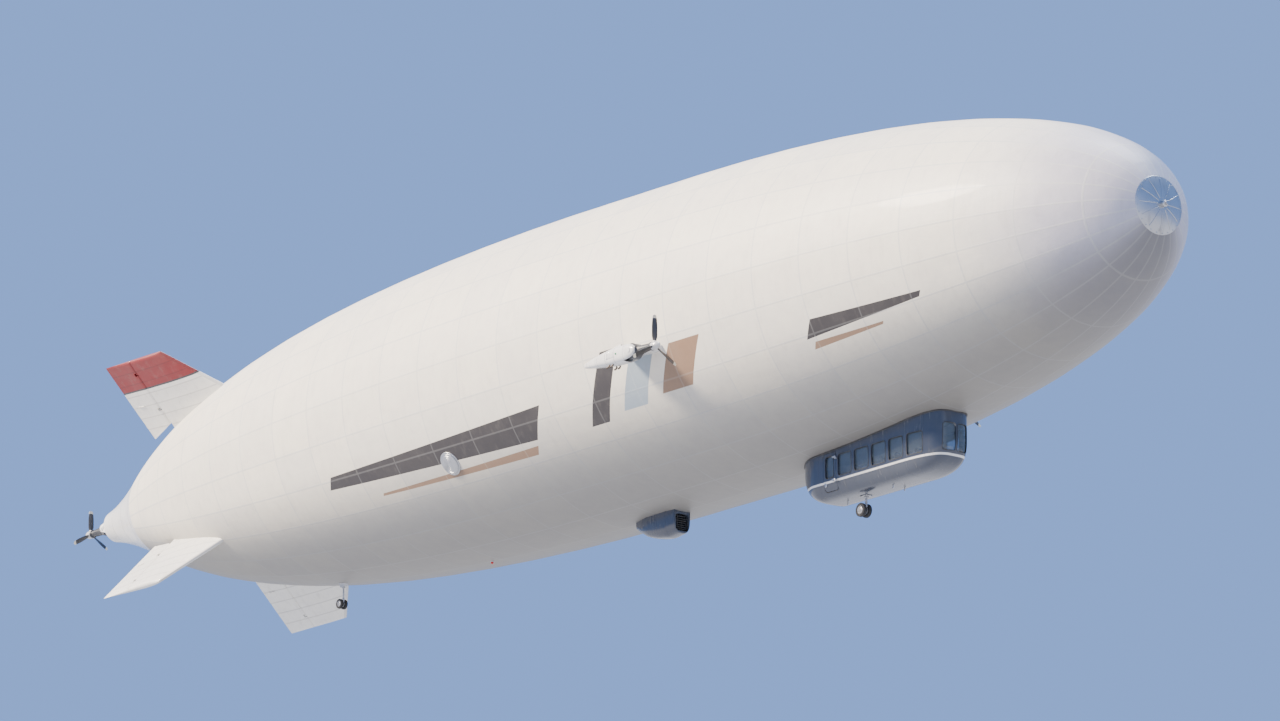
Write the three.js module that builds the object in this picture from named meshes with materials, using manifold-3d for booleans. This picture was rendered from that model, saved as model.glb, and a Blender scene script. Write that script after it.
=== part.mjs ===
import * as THREE from "three";
import { mergeVertices } from "three/addons/utils/BufferGeometryUtils.js";
import Module from "manifold-3d";

// An airship at half its real size, in millimetres.
// X runs forward, Y to port and Z up. The origin is the centre of buoyancy, on the hull's axis.
// Places along the hull are given as "aft", the distance behind the nose tip.

// Hull
const HULL_LENGTH = 35500;
const HULL_RADIUS = 3550;
const BUOYANCY_AFT = 16500;
const SKIN = 10;
const HULL_SIDES = 40;
const ROUND_SIDES = 14;
const BOW_END = 0.4 * HULL_LENGTH;
const STERN_START = 0.48 * HULL_LENGTH;
const BOW_POWER = 2.25;
const BOW_STEPS = 8;
const STERN_STEPS = 10;
const FIT_GAP = 0.35;
const KEEL_Z = -HULL_RADIUS;

// Nose dish and mooring spindle
const NOSE_DISH_RADIUS = 640;
const NOSE_DISH_THICKNESS = 30;
const DISH_RIM_INSET = 4.8;
const SPINDLE_LENGTH = 160;
const SPINDLE_TIP_LENGTH = 60;
const SPINDLE_SHOULDER = 20;
const SPINDLE_RADIUS = 45;
const SPINDLE_COLLAR_RADIUS = 75;

// Tail cone and the stern propeller
const TAIL_CONE_AFT = 34300;
const TAIL_CONE_END_AFT = 36200;
const TAIL_CONE_END_RADIUS = 360;
const TAIL_CONE_WALL = 22;
const TAIL_BULKHEAD = 60;
const STERN_PIVOT_AFT = 36480;
const STERN_NECK_LENGTH = 600;
const STERN_DRUM_RADIUS = 150;
const STERN_BLADE_RADIUS = 550;
const STERN_ENGINE = { length: 700, halfWidth: 190, bottom: -170, top: 150 };
const CHEEK_THICKNESS = 60;
const CHEEK_ROOT_HALF = 190;
const CHEEK_TIP_HALF = 75;

// Fins, whose tip stands this far from the hull's axis
const FIN_TIP_RADIUS = 3750;
const FIN_ANGLES = [
  // name, degrees from straight up towards port
  ["upper_port", 45],
  ["lower_port", 135],
  ["lower_starboard", 225],
  ["upper_starboard", 315],
];
const FIN_TIP_LEADING_AFT = 31100;
const FIN_TRAILING_AFT = 33100;
const FIN_SWEEP = Math.tan(THREE.MathUtils.degToRad(45));
const FIN_ROOT_THICKNESS = 300;
const FIN_TIP_THICKNESS = 140;
const FIN_THICKNESS_ROOT_RADIUS = 1700;
const FIN_TIP_ROUNDING = 60;
const HINGE_AFT = 32250;
const HINGE_HALF_THICKNESS = 0.36;
const HINGE_GAP = 8;
const HINGE_PIN_RADIUS = 20;
const HINGE_EYE_RADIUS = 38;
const HINGE_EYE_HEIGHT = 60;
const HINGE_RADII = [2450, 3400];
const HINGE_ARM_HALF = 28;
const HINGE_ARM_ROOT = 50;
const HINGE_NOTCH_FRONT = 52;
const HINGE_NOTCH_MARGIN = 10;
const HINGE_PIN_OVERLAP = 40;
const FIN_ROOT_RADIUS = 2150;
const FIN_ROOT_FALL = 0.24;
const FLAP_ROOT_RADIUS = 2030;
const FLAP_ROOT_FALL = 0.32;
const TRAILING_HALF_THICKNESS = 7;
const RUNNING_GAP = 0.3;

// Gondola: places along it are measured aft from its front, and depths down from the hull's keel line.
// Its roof lies just inside the skin, so it climbs with the hull towards the bow.
const GONDOLA_AFT = 6700;
const GONDOLA_LENGTH = 4800;
const GONDOLA_WALL = 30;
const GONDOLA_ROOF_SINK = 60;
const GONDOLA_BOXINESS = 4;
const GONDOLA_STEPS = 12;
const GONDOLA_SECTIONS = [
  // place, half width, depth
  [0, 200, 330],
  [80, 340, 540],
  [250, 450, 700],
  [600, 535, 810],
  [1100, 570, 850],
  [4050, 570, 850],
  [4400, 480, 715],
  [4680, 300, 450],
  [4800, 180, 280],
];
const GLASS_GAP = 0.5;
const GLASS_THICKNESS = 8;
const GLASS_LAP = 25;
const WINDOW_TOP = -20;
const WINDOW_BOTTOM = 450;
const WINDOW_STARTS = [520, 1110, 1680, 2250, 2820];
const PORT_REAR_WINDOW = 3390;
const WINDOW_LENGTH = 470;
const FRONT_PANE_INNER = 20;
const FRONT_PANE_OUTER = 330;
const FRONT_PANE_TOP = -150;
const FRONT_PANE_BACK = 460;
const WINDSCREEN_END = 1050;
const SHELL_GAP = 0.3;
const NOSE_SHELL_END = 1050;
const TAIL_SHELL_START = 4050;
const ROOF_PANEL_HALF = 530;
const ROOF_PANEL_BOTTOM = -120;
const BELLY_PANEL_HALF = 400;
const BELLY_PANEL_TOP = 600;
const CABIN_HALF = 700;
const CABIN_TOP = -900;
const CABIN_BOTTOM = 900;
const FLOOR_TOP = 725;
const FLOOR_THICKNESS = 25;
const FLOOR_START = 560;
const FLOOR_END = 4150;

// Passenger door, to starboard, hinged at its front edge
const DOOR_START = 3330;
const DOOR_END = 3750;
const DOOR_TOP = -100;
const DOOR_BOTTOM = 720;
const DOOR_CLEARANCE = 6;
const DOOR_POST = 70;
const DOOR_HINGE_PLACE = 3308;
const DOOR_HINGE_OFFSET = 34;
const DOOR_HINGE_DEPTHS = [20, 520];
const DOOR_PIN_RADIUS = 9;
const DOOR_EYE_RADIUS = 22;
const DOOR_STRAP_REACH = 80;
const DOOR_STRAP_HALF = 15;

// Seats
const PILOT_SEAT_PLACE = 900;
const PILOT_SEAT_SIDE = 165;
const PASSENGER_SEAT_SIDE = 250;
const PORT_SEAT_PLACES = [1500, 1950, 2400, 2850, 3300];
const STARBOARD_SEAT_PLACES = [1500, 1950, 2400, 2850];
const SEAT_WIDTH = 230;
const SEAT_CUSHION_HEIGHT = 190;
const SEAT_CUSHION_THICKNESS = 65;
const SEAT_CUSHION_HALF_LENGTH = 120;
const SEAT_BACK_HEIGHT = 330;
const SEAT_BACK_START = 90;
const SEAT_BACK_END = 145;
const SEAT_PEDESTAL_HALF = 60;
const SEAT_RAIL_INNER = 28;
const SEAT_RAIL_OUTER = 48;
const SEAT_RAIL_HEIGHT = 14;
const SEAT_RAIL_MARGIN = 100;

// Instrument panel, with a shelf and a column below it
const PANEL = { start: 440, end: 540, halfWidth: 320, top: 440, bottom: 590 };
const PEDESTAL = { start: 470, end: 680, halfWidth: 55, top: 560, bottom: 690 };

// Landing gear
const MAIN_GEAR = {
  aft: GONDOLA_AFT + 3000,
  footDepth: 850,
  strutLength: 130,
  strutRadius: 26,
  wheelRadius: 150,
  wheelWidth: 80,
  wheelInner: 36,
  trail: 80,
};
const TAIL_GEAR = {
  aft: 27800,
  footDepth: 0,
  strutLength: 260,
  strutRadius: 20,
  wheelRadius: 110,
  wheelWidth: 60,
  wheelInner: 30,
  trail: 60,
};
const GEAR_FOOT_THICKNESS = 16;
const MAIN_FOOT_HALF_LENGTH = 110;
const MAIN_FOOT_HALF_WIDTH = 85;
const TAIL_FOOT_DROP = 60;
const AXLE_RADIUS = 16;
const GEAR_HUB_RADIUS = 34;

// Flank propulsion pods
const POD_PIVOT_AFT = 12275;
const POD_SIDE = 4240;
const POD_Z = -1400;
const POD_SECTIONS = [
  // place forward of the pivot, half width, half height
  [150, 165, 80],
  [60, 185, 150],
  [-200, 195, 195],
  [-600, 195, 190],
  [-1000, 165, 150],
  [-1400, 110, 95],
  [-1700, 45, 40],
];
const POD_WALL = 22;
const POD_SLOT_HALF_WIDTH = 130;
const POD_SLOT_BACK = -245;
const POD_NECK_LENGTH = 600;
const DRUM_RADIUS = 165;
const DRUM_HALF_LENGTH = 120;
const TRUNNION_RADIUS = 38;
const TRUNNION_SIDES = 24;
const POD_BLADE_RADIUS = 675;
const POD_ENGINE = { back: -850, front: -330, halfWidth: 115, bottom: -100, top: 95 };
const STRUT_THICKNESS = 150;
const STRUT_ROOT_SINK = 200;

// Ballonet scoop under the hull, open at its front
const SCOOP_SECTIONS = [
  // aft, half width, depth
  [15900, 230, 480],
  [16300, 250, 520],
  [16900, 220, 400],
  [17350, 110, 150],
];
const SCOOP_INTAKE = { end: 16700, halfWidth: 180, top: 50, bottom: 430 };
const SCOOP_STEPS = 10;

// Gas valve hoods, low on each flank
const VALVE_AFT = 20400;
const VALVE_RADIUS = 280;
const VALVE_HEIGHT = 45;
const VALVE_ANGLE = 126;

// Finishes
const white = { color: 0xf1efe8, roughness: 0.45, metalness: 0 };
const metal = { color: 0x9a9da1, roughness: 0.4, metalness: 0.8 };
const dark = { color: 0x2a2c30, roughness: 0.55, metalness: 0.1 };
const glass = { color: 0x24323c, roughness: 0.08, metalness: 0 };
const cloth = { color: 0x3a4658, roughness: 0.9, metalness: 0 };
const tyre = { color: 0x1b1b1c, roughness: 0.9, metalness: 0 };

const wasm = await Module();
wasm.setup();

// A closed mesh as a solid that can be joined and cut, with its faces turned outwards.
function solid(geometry) {
  const plain = geometry.index ? geometry.toNonIndexed() : geometry.clone();
  plain.deleteAttribute("normal");
  plain.deleteAttribute("uv");
  const merged = mergeVertices(plain, 1e-3);
  const vertProperties = merged.attributes.position.array;
  const triVerts = new Uint32Array(merged.index.array);
  const made = new wasm.Manifold(new wasm.Mesh({ numProp: 3, vertProperties, triVerts }));
  if (made.volume() > 0) {
    return made;
  }
  for (let i = 0; i < triVerts.length; i += 3) {
    [triVerts[i + 1], triVerts[i + 2]] = [triVerts[i + 2], triVerts[i + 1]];
  }
  return new wasm.Manifold(new wasm.Mesh({ numProp: 3, vertProperties, triVerts }));
}

// The triangles of a solid, for a mesh.
function surface(made) {
  const mesh = made.getMesh();
  const geometry = new THREE.BufferGeometry();
  geometry.setAttribute("position", new THREE.BufferAttribute(mesh.vertProperties, 3));
  geometry.setIndex(new THREE.BufferAttribute(mesh.triVerts, 1));
  const flat = geometry.toNonIndexed();
  flat.computeVertexNormals();
  return flat;
}

function box(x0, x1, y0, y1, z0, z1) {
  const geometry = new THREE.BoxGeometry(x1 - x0, y1 - y0, z1 - z0);
  geometry.translate((x0 + x1) / 2, (y0 + y1) / 2, (z0 + z1) / 2);
  return solid(geometry);
}

// A round bar between two places on a line along one axis.
function bar(axis, radius, from, to, centre, sides = ROUND_SIDES) {
  const geometry = new THREE.CylinderGeometry(radius, radius, to - from, sides);
  geometry.translate(0, (from + to) / 2, 0);
  if (axis === "x") {
    geometry.rotateZ(-Math.PI / 2);
  }
  if (axis === "z") {
    geometry.rotateX(Math.PI / 2);
  }
  geometry.translate(...centre);
  return solid(geometry);
}

// The radius of a bore whose flats stand clear of a round pin.
function boreRadius(pinRadius, sides = ROUND_SIDES) {
  return (pinRadius + RUNNING_GAP) / Math.cos(Math.PI / sides);
}

// A solid of revolution about the X axis, from pairs of place and radius.
function turned(profile, sides) {
  const points = profile.map(([x, radius]) => new THREE.Vector2(radius, x));
  const geometry = new THREE.LatheGeometry(points, sides);
  geometry.rotateZ(-Math.PI / 2);
  return solid(geometry);
}

// A skin over closed loops of points, with flat ends.
function loft(loops) {
  const count = loops[0].length;
  const last = loops[loops.length - 1];
  const positions = [];
  const face = (a, b, c) => positions.push(...a, ...b, ...c);
  for (let i = 1; i < loops.length; i += 1) {
    for (let j = 0; j < count; j += 1) {
      const k = (j + 1) % count;
      face(loops[i - 1][j], loops[i - 1][k], loops[i][k]);
      face(loops[i - 1][j], loops[i][k], loops[i][j]);
    }
  }
  for (let j = 1; j < count - 1; j += 1) {
    face(loops[0][0], loops[0][j + 1], loops[0][j]);
    face(last[0], last[j], last[j + 1]);
  }
  const geometry = new THREE.BufferGeometry();
  geometry.setAttribute("position", new THREE.Float32BufferAttribute(positions, 3));
  return solid(geometry);
}

const craft = new THREE.Group();

function piece(name, made, finish, place = [0, 0, 0], roll = 0) {
  const mesh = new THREE.Mesh(surface(made), new THREE.MeshStandardMaterial(finish));
  mesh.name = name;
  mesh.position.set(...place);
  mesh.rotation.x = roll;
  craft.add(mesh);
  return mesh;
}

const forward = (aft) => BUOYANCY_AFT - aft;

// Hull form: a blunt bow, a short parallel middle and a long taper aft
function hullRadius(aft) {
  if (aft < BOW_END) {
    const bow = (BOW_END - aft) / BOW_END;
    return HULL_RADIUS * (1 - bow ** BOW_POWER) ** (1 / BOW_POWER);
  }
  if (aft < STERN_START) {
    return HULL_RADIUS;
  }
  const stern = (aft - STERN_START) / (HULL_LENGTH - STERN_START);
  return HULL_RADIUS * (1 - stern ** 2) ** 0.45 * (1 - 0.35 * stern ** 6);
}

const dishEdge = (1 - (NOSE_DISH_RADIUS / HULL_RADIUS) ** BOW_POWER) ** (1 / BOW_POWER);
const dishAngle = Math.acos(dishEdge);
const sternAngle = Math.asin((TAIL_CONE_AFT - STERN_START) / (HULL_LENGTH - STERN_START));
const bowStation = (angle) => BOW_END * (1 - Math.cos(angle));

const stations = [];
for (let i = 0; i <= BOW_STEPS; i += 1) {
  stations.push(bowStation(dishAngle + ((Math.PI / 2 - dishAngle) * i) / BOW_STEPS));
}
for (let i = 0; i <= STERN_STEPS; i += 1) {
  const angle = (sternAngle * i) / STERN_STEPS;
  stations.push(STERN_START + (HULL_LENGTH - STERN_START) * Math.sin(angle));
}

// The hull's outline, moved along its normal by an amount that is negative inwards.
function hullProfile(offset) {
  return stations.map((aft) => {
    const step = 5;
    const slope = (hullRadius(aft + step) - hullRadius(aft - step)) / (2 * step);
    const length = Math.hypot(1, slope);
    return [forward(aft) + (offset * slope) / length, hullRadius(aft) + offset / length];
  });
}

// The whole hull as a solid a little larger than the skin, for trimming what meets it
const hullTrim = turned(
  [
    [forward(0) + FIT_GAP, 0],
    ...stations.map((aft) => [forward(aft), hullRadius(aft) + FIT_GAP]),
    [forward(TAIL_CONE_AFT) - 1, 0],
  ],
  HULL_SIDES,
);

// Gondola form, as a loft whose walls can be set in from the outside
function gondolaSize(place) {
  const last = GONDOLA_SECTIONS.length - 1;
  const next = GONDOLA_SECTIONS.findIndex(([end], i) => i > 0 && (end >= place || i === last));
  const upper = GONDOLA_SECTIONS[next];
  const lower = GONDOLA_SECTIONS[next - 1];
  const share = (place - lower[0]) / (upper[0] - lower[0]);
  return [lower[1] + (upper[1] - lower[1]) * share, lower[2] + (upper[2] - lower[2]) * share];
}

// The roof stands a little inside the skin above the cabin's side walls.
function gondolaRoof(place, halfWidth) {
  return GONDOLA_ROOF_SINK - Math.sqrt(hullRadius(GONDOLA_AFT + place) ** 2 - halfWidth ** 2);
}

function gondolaForm(inset) {
  const middle = GONDOLA_SECTIONS.slice(1, -1).map(([place]) => place);
  const places = [inset, ...middle, GONDOLA_LENGTH - inset];
  return loft(
    places.map((place) => {
      const [halfWidth, depth] = gondolaSize(place);
      const x = forward(GONDOLA_AFT + place);
      const roof = gondolaRoof(place, halfWidth) - inset;
      const loop = [];
      for (let i = 0; i <= GONDOLA_STEPS; i += 1) {
        const angle = (Math.PI * i) / GONDOLA_STEPS;
        const cosine = Math.cos(angle);
        const across = Math.sign(cosine) * Math.abs(cosine) ** (2 / GONDOLA_BOXINESS);
        const down = Math.abs(Math.sin(angle)) ** (2 / GONDOLA_BOXINESS);
        loop.push([x, (halfWidth - inset) * across, KEEL_Z - (depth - inset) * down]);
      }
      loop.push([x, inset - halfWidth, roof]);
      loop.push([x, halfWidth - inset, roof]);
      return loop;
    }),
  );
}

// A block in the gondola's own measures: place along it, side to side, and depth
function cabinBox(start, end, y0, y1, top, bottom) {
  const back = forward(GONDOLA_AFT + end);
  const front = forward(GONDOLA_AFT + start);
  return box(back, front, y0, y1, KEEL_Z - bottom, KEEL_Z - top);
}

// A block that reaches through one side wall: side is 1 to port and -1 to starboard
const WALL_REACH = 250;
function wallBox(side, start, end, top, bottom) {
  const y0 = side > 0 ? WALL_REACH : -CABIN_HALF;
  const y1 = side > 0 ? CABIN_HALF : -WALL_REACH;
  return cabinBox(start, end, y0, y1, top, bottom);
}

const gondolaOutside = gondolaForm(0);
const gondolaInside = gondolaForm(GONDOLA_WALL);
const glassForm = gondolaForm(GONDOLA_WALL + GLASS_GAP).subtract(
  gondolaForm(GONDOLA_WALL + GLASS_GAP + GLASS_THICKNESS),
);

// Envelope, open at the nose dish, the tail cone and the cabin's well
const envelope = turned(
  [...hullProfile(0), ...hullProfile(-SKIN).reverse(), hullProfile(0)[0]],
  HULL_SIDES,
);
piece("envelope", envelope.subtract(gondolaForm(-FIT_GAP)), white);

// Nose dish with the mooring spindle on its axis
const dishRim = NOSE_DISH_RADIUS - DISH_RIM_INSET;
const dishArc = [0.33, 0.66].map((share) => bowStation(dishAngle * share));
piece(
  "nose_cone",
  turned(
    [
      [forward(-SPINDLE_LENGTH), 0],
      [forward(-SPINDLE_LENGTH), SPINDLE_RADIUS],
      [forward(SPINDLE_TIP_LENGTH - SPINDLE_LENGTH), SPINDLE_RADIUS],
      [forward(SPINDLE_TIP_LENGTH - SPINDLE_LENGTH + SPINDLE_SHOULDER), SPINDLE_COLLAR_RADIUS],
      [forward(-SPINDLE_SHOULDER), SPINDLE_COLLAR_RADIUS],
      [forward(4), SPINDLE_COLLAR_RADIUS + 50],
      ...dishArc.map((aft) => [forward(aft), hullRadius(aft)]),
      [forward(bowStation(dishAngle)), dishRim],
      [forward(bowStation(dishAngle)) - NOSE_DISH_THICKNESS, dishRim],
      ...dishArc.reverse().map((aft) => [forward(aft) - NOSE_DISH_THICKNESS, hullRadius(aft)]),
      [forward(NOSE_DISH_THICKNESS), 0],
    ],
    HULL_SIDES,
  ),
  metal,
);

// Tail cone: a thin fairing with a stout rear bulkhead and two cheeks for the swivelling propeller
function tailConeRadius(aft) {
  const share = (aft - TAIL_CONE_AFT) / (TAIL_CONE_END_AFT - TAIL_CONE_AFT);
  const front = hullRadius(TAIL_CONE_AFT);
  return TAIL_CONE_END_RADIUS + (front - TAIL_CONE_END_RADIUS) * (1 - share) ** 1.3;
}
const coneStations = [0.0003, 0.25, 0.55, 1].map(
  (share) => TAIL_CONE_AFT + (TAIL_CONE_END_AFT - TAIL_CONE_AFT) * share,
);
const coneInside = coneStations.slice(0, -1).concat(TAIL_CONE_END_AFT - TAIL_BULKHEAD);
let tailCone = turned(
  [
    ...coneStations.map((aft) => [forward(aft), tailConeRadius(aft)]),
    [forward(TAIL_CONE_END_AFT), 0],
    [forward(TAIL_CONE_END_AFT - TAIL_BULKHEAD), 0],
    ...coneInside.reverse().map((aft) => [forward(aft), tailConeRadius(aft) - TAIL_CONE_WALL]),
    [forward(coneStations[0]), tailConeRadius(coneStations[0])],
  ],
  HULL_SIDES,
);
const sternPivot = forward(STERN_PIVOT_AFT);

// A flat plate that tapers along X, from one half height to another
function taperedArm(x0, half0, x1, half1, y0, y1) {
  const end = (x, half) => [
    [x, y0, -half],
    [x, y1, -half],
    [x, y1, half],
    [x, y0, half],
  ];
  return loft([end(x0, half0), end(x1, half1)]);
}
const cheekRoot = forward(TAIL_CONE_END_AFT - 40);
const cheekTip = sternPivot - 60;
for (const inner of [POD_SLOT_HALF_WIDTH, -POD_SLOT_HALF_WIDTH - CHEEK_THICKNESS]) {
  const outer = inner + CHEEK_THICKNESS;
  tailCone = tailCone.add(
    taperedArm(cheekRoot, CHEEK_ROOT_HALF, cheekTip, CHEEK_TIP_HALF, inner, outer),
  );
}
const sternBore = boreRadius(TRUNNION_RADIUS, TRUNNION_SIDES);
tailCone = tailCone.subtract(
  bar("y", sternBore, -300, 300, [sternPivot, 0, 0], TRUNNION_SIDES),
);
piece("tail_cone", tailCone, white);

const sternEngineBack = forward(TAIL_CONE_END_AFT - TAIL_BULKHEAD) + RUNNING_GAP;
piece(
  "stern_engine",
  box(
    sternEngineBack,
    sternEngineBack + STERN_ENGINE.length,
    -STERN_ENGINE.halfWidth,
    STERN_ENGINE.halfWidth,
    STERN_ENGINE.bottom,
    STERN_ENGINE.top,
  ),
  metal,
);

// A swivelling gear head: a drum on trunnions with a neck to the propeller's flange, along +X
function gearHead(neckLength, drumRadius) {
  const drum = bar("y", drumRadius, -DRUM_HALF_LENGTH, DRUM_HALF_LENGTH, [0, 0, 0], 24);
  const trunnions = bar("y", TRUNNION_RADIUS, -176, 176, [0, 0, 0], TRUNNION_SIDES);
  const neck = turned(
    [
      [60, 0],
      [60, 105],
      [drumRadius + 40, 92],
      [neckLength - 60, 70],
      [neckLength - 40, 95],
      [neckLength, 95],
      [neckLength, 0],
    ],
    ROUND_SIDES,
  );
  return drum.add(trunnions).add(neck);
}

// A three-bladed propeller along +X, its hub's back face just clear of the flange
function propeller(bladeRadius, neckLength) {
  const back = neckLength + RUNNING_GAP;
  const plane = neckLength + 60;
  let made = turned(
    [
      [back, 0],
      [back, 88],
      [back + 115, 88],
      [back + 170, 66],
      [back + 225, 30],
      [back + 240, 0],
    ],
    ROUND_SIDES,
  );
  const stationsOut = [
    // share of the radius, chord, thickness, pitch in degrees
    [0.08, 70, 44, 55],
    [0.3, 118, 30, 42],
    [0.65, 122, 18, 26],
    [0.93, 92, 11, 18],
    [1, 48, 8, 17],
  ];
  const loops = stationsOut.map(([share, chord, thickness, pitch]) => {
    const loop = [];
    const turn = THREE.MathUtils.degToRad(pitch);
    for (let i = 0; i < 8; i += 1) {
      const angle = (Math.PI * 2 * i) / 8;
      const along = (Math.cos(angle) * chord) / 2;
      const through = (Math.sin(angle) * thickness) / 2;
      const x = plane + along * Math.sin(turn) + through * Math.cos(turn);
      const y = along * Math.cos(turn) - through * Math.sin(turn);
      loop.push([x, y, share * bladeRadius]);
    }
    return loop;
  });
  const blade = loft(loops);
  for (let i = 0; i < 3; i += 1) {
    made = made.add(blade.rotate([120 * i, 0, 0]));
  }
  return made;
}

// The stern head points aft, so it is the same head turned about
const sternHead = gearHead(STERN_NECK_LENGTH, STERN_DRUM_RADIUS).rotate([0, 0, 180]);
const sternPropeller = propeller(STERN_BLADE_RADIUS, STERN_NECK_LENGTH).rotate([0, 0, 180]);
piece("stern_head", sternHead, dark, [sternPivot, 0, 0]);
piece("stern_propeller", sternPropeller, dark, [sternPivot, 0, 0]);

// Fins: one fin and its control surface are shaped standing straight up, then rolled to their places
function finThickness(radius) {
  const share = (radius - FIN_THICKNESS_ROOT_RADIUS) / (FIN_TIP_RADIUS - FIN_THICKNESS_ROOT_RADIUS);
  return FIN_ROOT_THICKNESS + (FIN_TIP_THICKNESS - FIN_ROOT_THICKNESS) * share;
}

const FIN_OUTLINE = [
  // share of the fixed chord, share of the half thickness
  [0, 0],
  [0.03, 0.42],
  [0.11, 0.72],
  [0.28, 0.95],
  [0.5, 1],
];

// A section of the fixed fin at the radii given by a rule, thinned towards the tip's edge
function finLoop(radius, radiusAt, thinning) {
  const thickness = finThickness(radius) * thinning;
  const front = FIN_TIP_LEADING_AFT - (FIN_TIP_RADIUS - radius) * FIN_SWEEP;
  const backHalf = finThickness(radiusAt(HINGE_AFT)) * HINGE_HALF_THICKNESS;
  const back = HINGE_AFT - backHalf - HINGE_GAP;
  const upper = FIN_OUTLINE.map(([along, half]) => [
    front + (back - front) * along,
    (half * thickness) / 2,
  ]);
  upper.push([back, backHalf * thinning]);
  const lower = upper
    .slice(1)
    .reverse()
    .map(([aft, y]) => [aft, -y]);
  return [...upper, ...lower].map(([aft, y]) => [forward(aft), y, radiusAt(aft)]);
}

// A section of the control surface: a round nose about the hinge and a thin trailing edge
function flapLoop(radius, radiusAt, thinning) {
  const half = finThickness(radius) * HINGE_HALF_THICKNESS * thinning;
  const loop = [
    [FIN_TRAILING_AFT, -TRAILING_HALF_THICKNESS],
    [FIN_TRAILING_AFT, TRAILING_HALF_THICKNESS],
  ];
  for (let i = 0; i <= 6; i += 1) {
    const angle = Math.PI / 2 + (Math.PI * i) / 6;
    loop.push([HINGE_AFT + half * Math.cos(angle), half * Math.sin(angle)]);
  }
  return loop.map(([aft, y]) => [forward(aft), y, radiusAt(aft)]);
}

const finRootLeading = FIN_TIP_LEADING_AFT - (FIN_TIP_RADIUS - FIN_ROOT_RADIUS) * FIN_SWEEP;
const finRootRule = (aft) => FIN_ROOT_RADIUS - (aft - finRootLeading) * FIN_ROOT_FALL;
const tipFlatRadius = FIN_TIP_RADIUS - FIN_TIP_ROUNDING;
const finTips = [
  // radius, share of the thickness
  [tipFlatRadius, 1],
  [FIN_TIP_RADIUS, 0.5],
];
let fin = loft([
  finLoop(FIN_ROOT_RADIUS, finRootRule, 1),
  ...finTips.map(([radius, thinning]) => finLoop(radius, () => radius, thinning)),
]);
fin = fin.subtract(hullTrim);

const flapRootRule = (aft) => FLAP_ROOT_RADIUS - (aft - HINGE_AFT) * FLAP_ROOT_FALL;
let flap = loft([
  flapLoop(FLAP_ROOT_RADIUS, flapRootRule, 1),
  ...finTips.map(([radius, thinning]) => flapLoop(radius, () => radius, thinning)),
]);

const hingeX = forward(HINGE_AFT);
const hingeLine = [hingeX, 0, 0];
for (const radius of HINGE_RADII) {
  const low = radius - HINGE_EYE_HEIGHT / 2;
  const high = radius + HINGE_EYE_HEIGHT / 2;
  const finBack = hingeX + finThickness(radius) * HINGE_HALF_THICKNESS + HINGE_GAP;
  const arm = box(hingeX, finBack + HINGE_ARM_ROOT, -HINGE_ARM_HALF, HINGE_ARM_HALF, low, high);
  const eye = bar("z", HINGE_EYE_RADIUS, low, high, hingeLine);
  const bore = bar("z", boreRadius(HINGE_PIN_RADIUS), low - 10, high + 10, hingeLine);
  fin = fin.add(arm.add(eye)).subtract(bore);
  const notch = box(
    hingeX - HINGE_NOTCH_FRONT,
    finBack + HINGE_ARM_ROOT,
    -FIN_ROOT_THICKNESS,
    FIN_ROOT_THICKNESS,
    low - HINGE_NOTCH_MARGIN,
    high + HINGE_NOTCH_MARGIN,
  );
  const pin = bar("z", HINGE_PIN_RADIUS, low - HINGE_PIN_OVERLAP, high + HINGE_PIN_OVERLAP, hingeLine);
  flap = flap.subtract(notch).add(pin);
}

for (const [name, degrees] of FIN_ANGLES) {
  const roll = THREE.MathUtils.degToRad(-degrees);
  piece(`fin_${name}`, fin, white, [0, 0, 0], roll);
  piece(`ruddervator_${name}`, flap, white, [0, 0, 0], roll);
}

// Gondola shell with its windscreen panes, side windows and doorway
let shell = gondolaOutside.subtract(gondolaInside);
for (const y0 of [FRONT_PANE_INNER, -FRONT_PANE_OUTER]) {
  const y1 = y0 + FRONT_PANE_OUTER - FRONT_PANE_INNER;
  shell = shell.subtract(
    cabinBox(-60, FRONT_PANE_BACK, y0, y1, FRONT_PANE_TOP, WINDOW_BOTTOM),
  );
}
const windows = [
  // side, start, end
  ...[...WINDOW_STARTS, PORT_REAR_WINDOW].map((start) => [1, start, start + WINDOW_LENGTH]),
  ...WINDOW_STARTS.map((start) => [-1, start, Math.min(start + WINDOW_LENGTH, DOOR_START - DOOR_POST)]),
];
for (const [side, start, end] of windows) {
  shell = shell.subtract(wallBox(side, start, end, WINDOW_TOP, WINDOW_BOTTOM));
}
shell = shell.subtract(wallBox(-1, DOOR_START, DOOR_END, DOOR_TOP, DOOR_BOTTOM));

// The door is the wall's own panel, with a window of its own
const doorPanel = wallBox(
  -1,
  DOOR_START + DOOR_CLEARANCE,
  DOOR_END - DOOR_CLEARANCE,
  DOOR_TOP + DOOR_CLEARANCE,
  DOOR_BOTTOM - DOOR_CLEARANCE,
);
const doorPane = wallBox(-1, DOOR_START + DOOR_POST, DOOR_END - DOOR_POST, WINDOW_TOP, WINDOW_BOTTOM);
let door = gondolaOutside.subtract(gondolaInside).intersect(doorPanel).subtract(doorPane);

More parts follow.
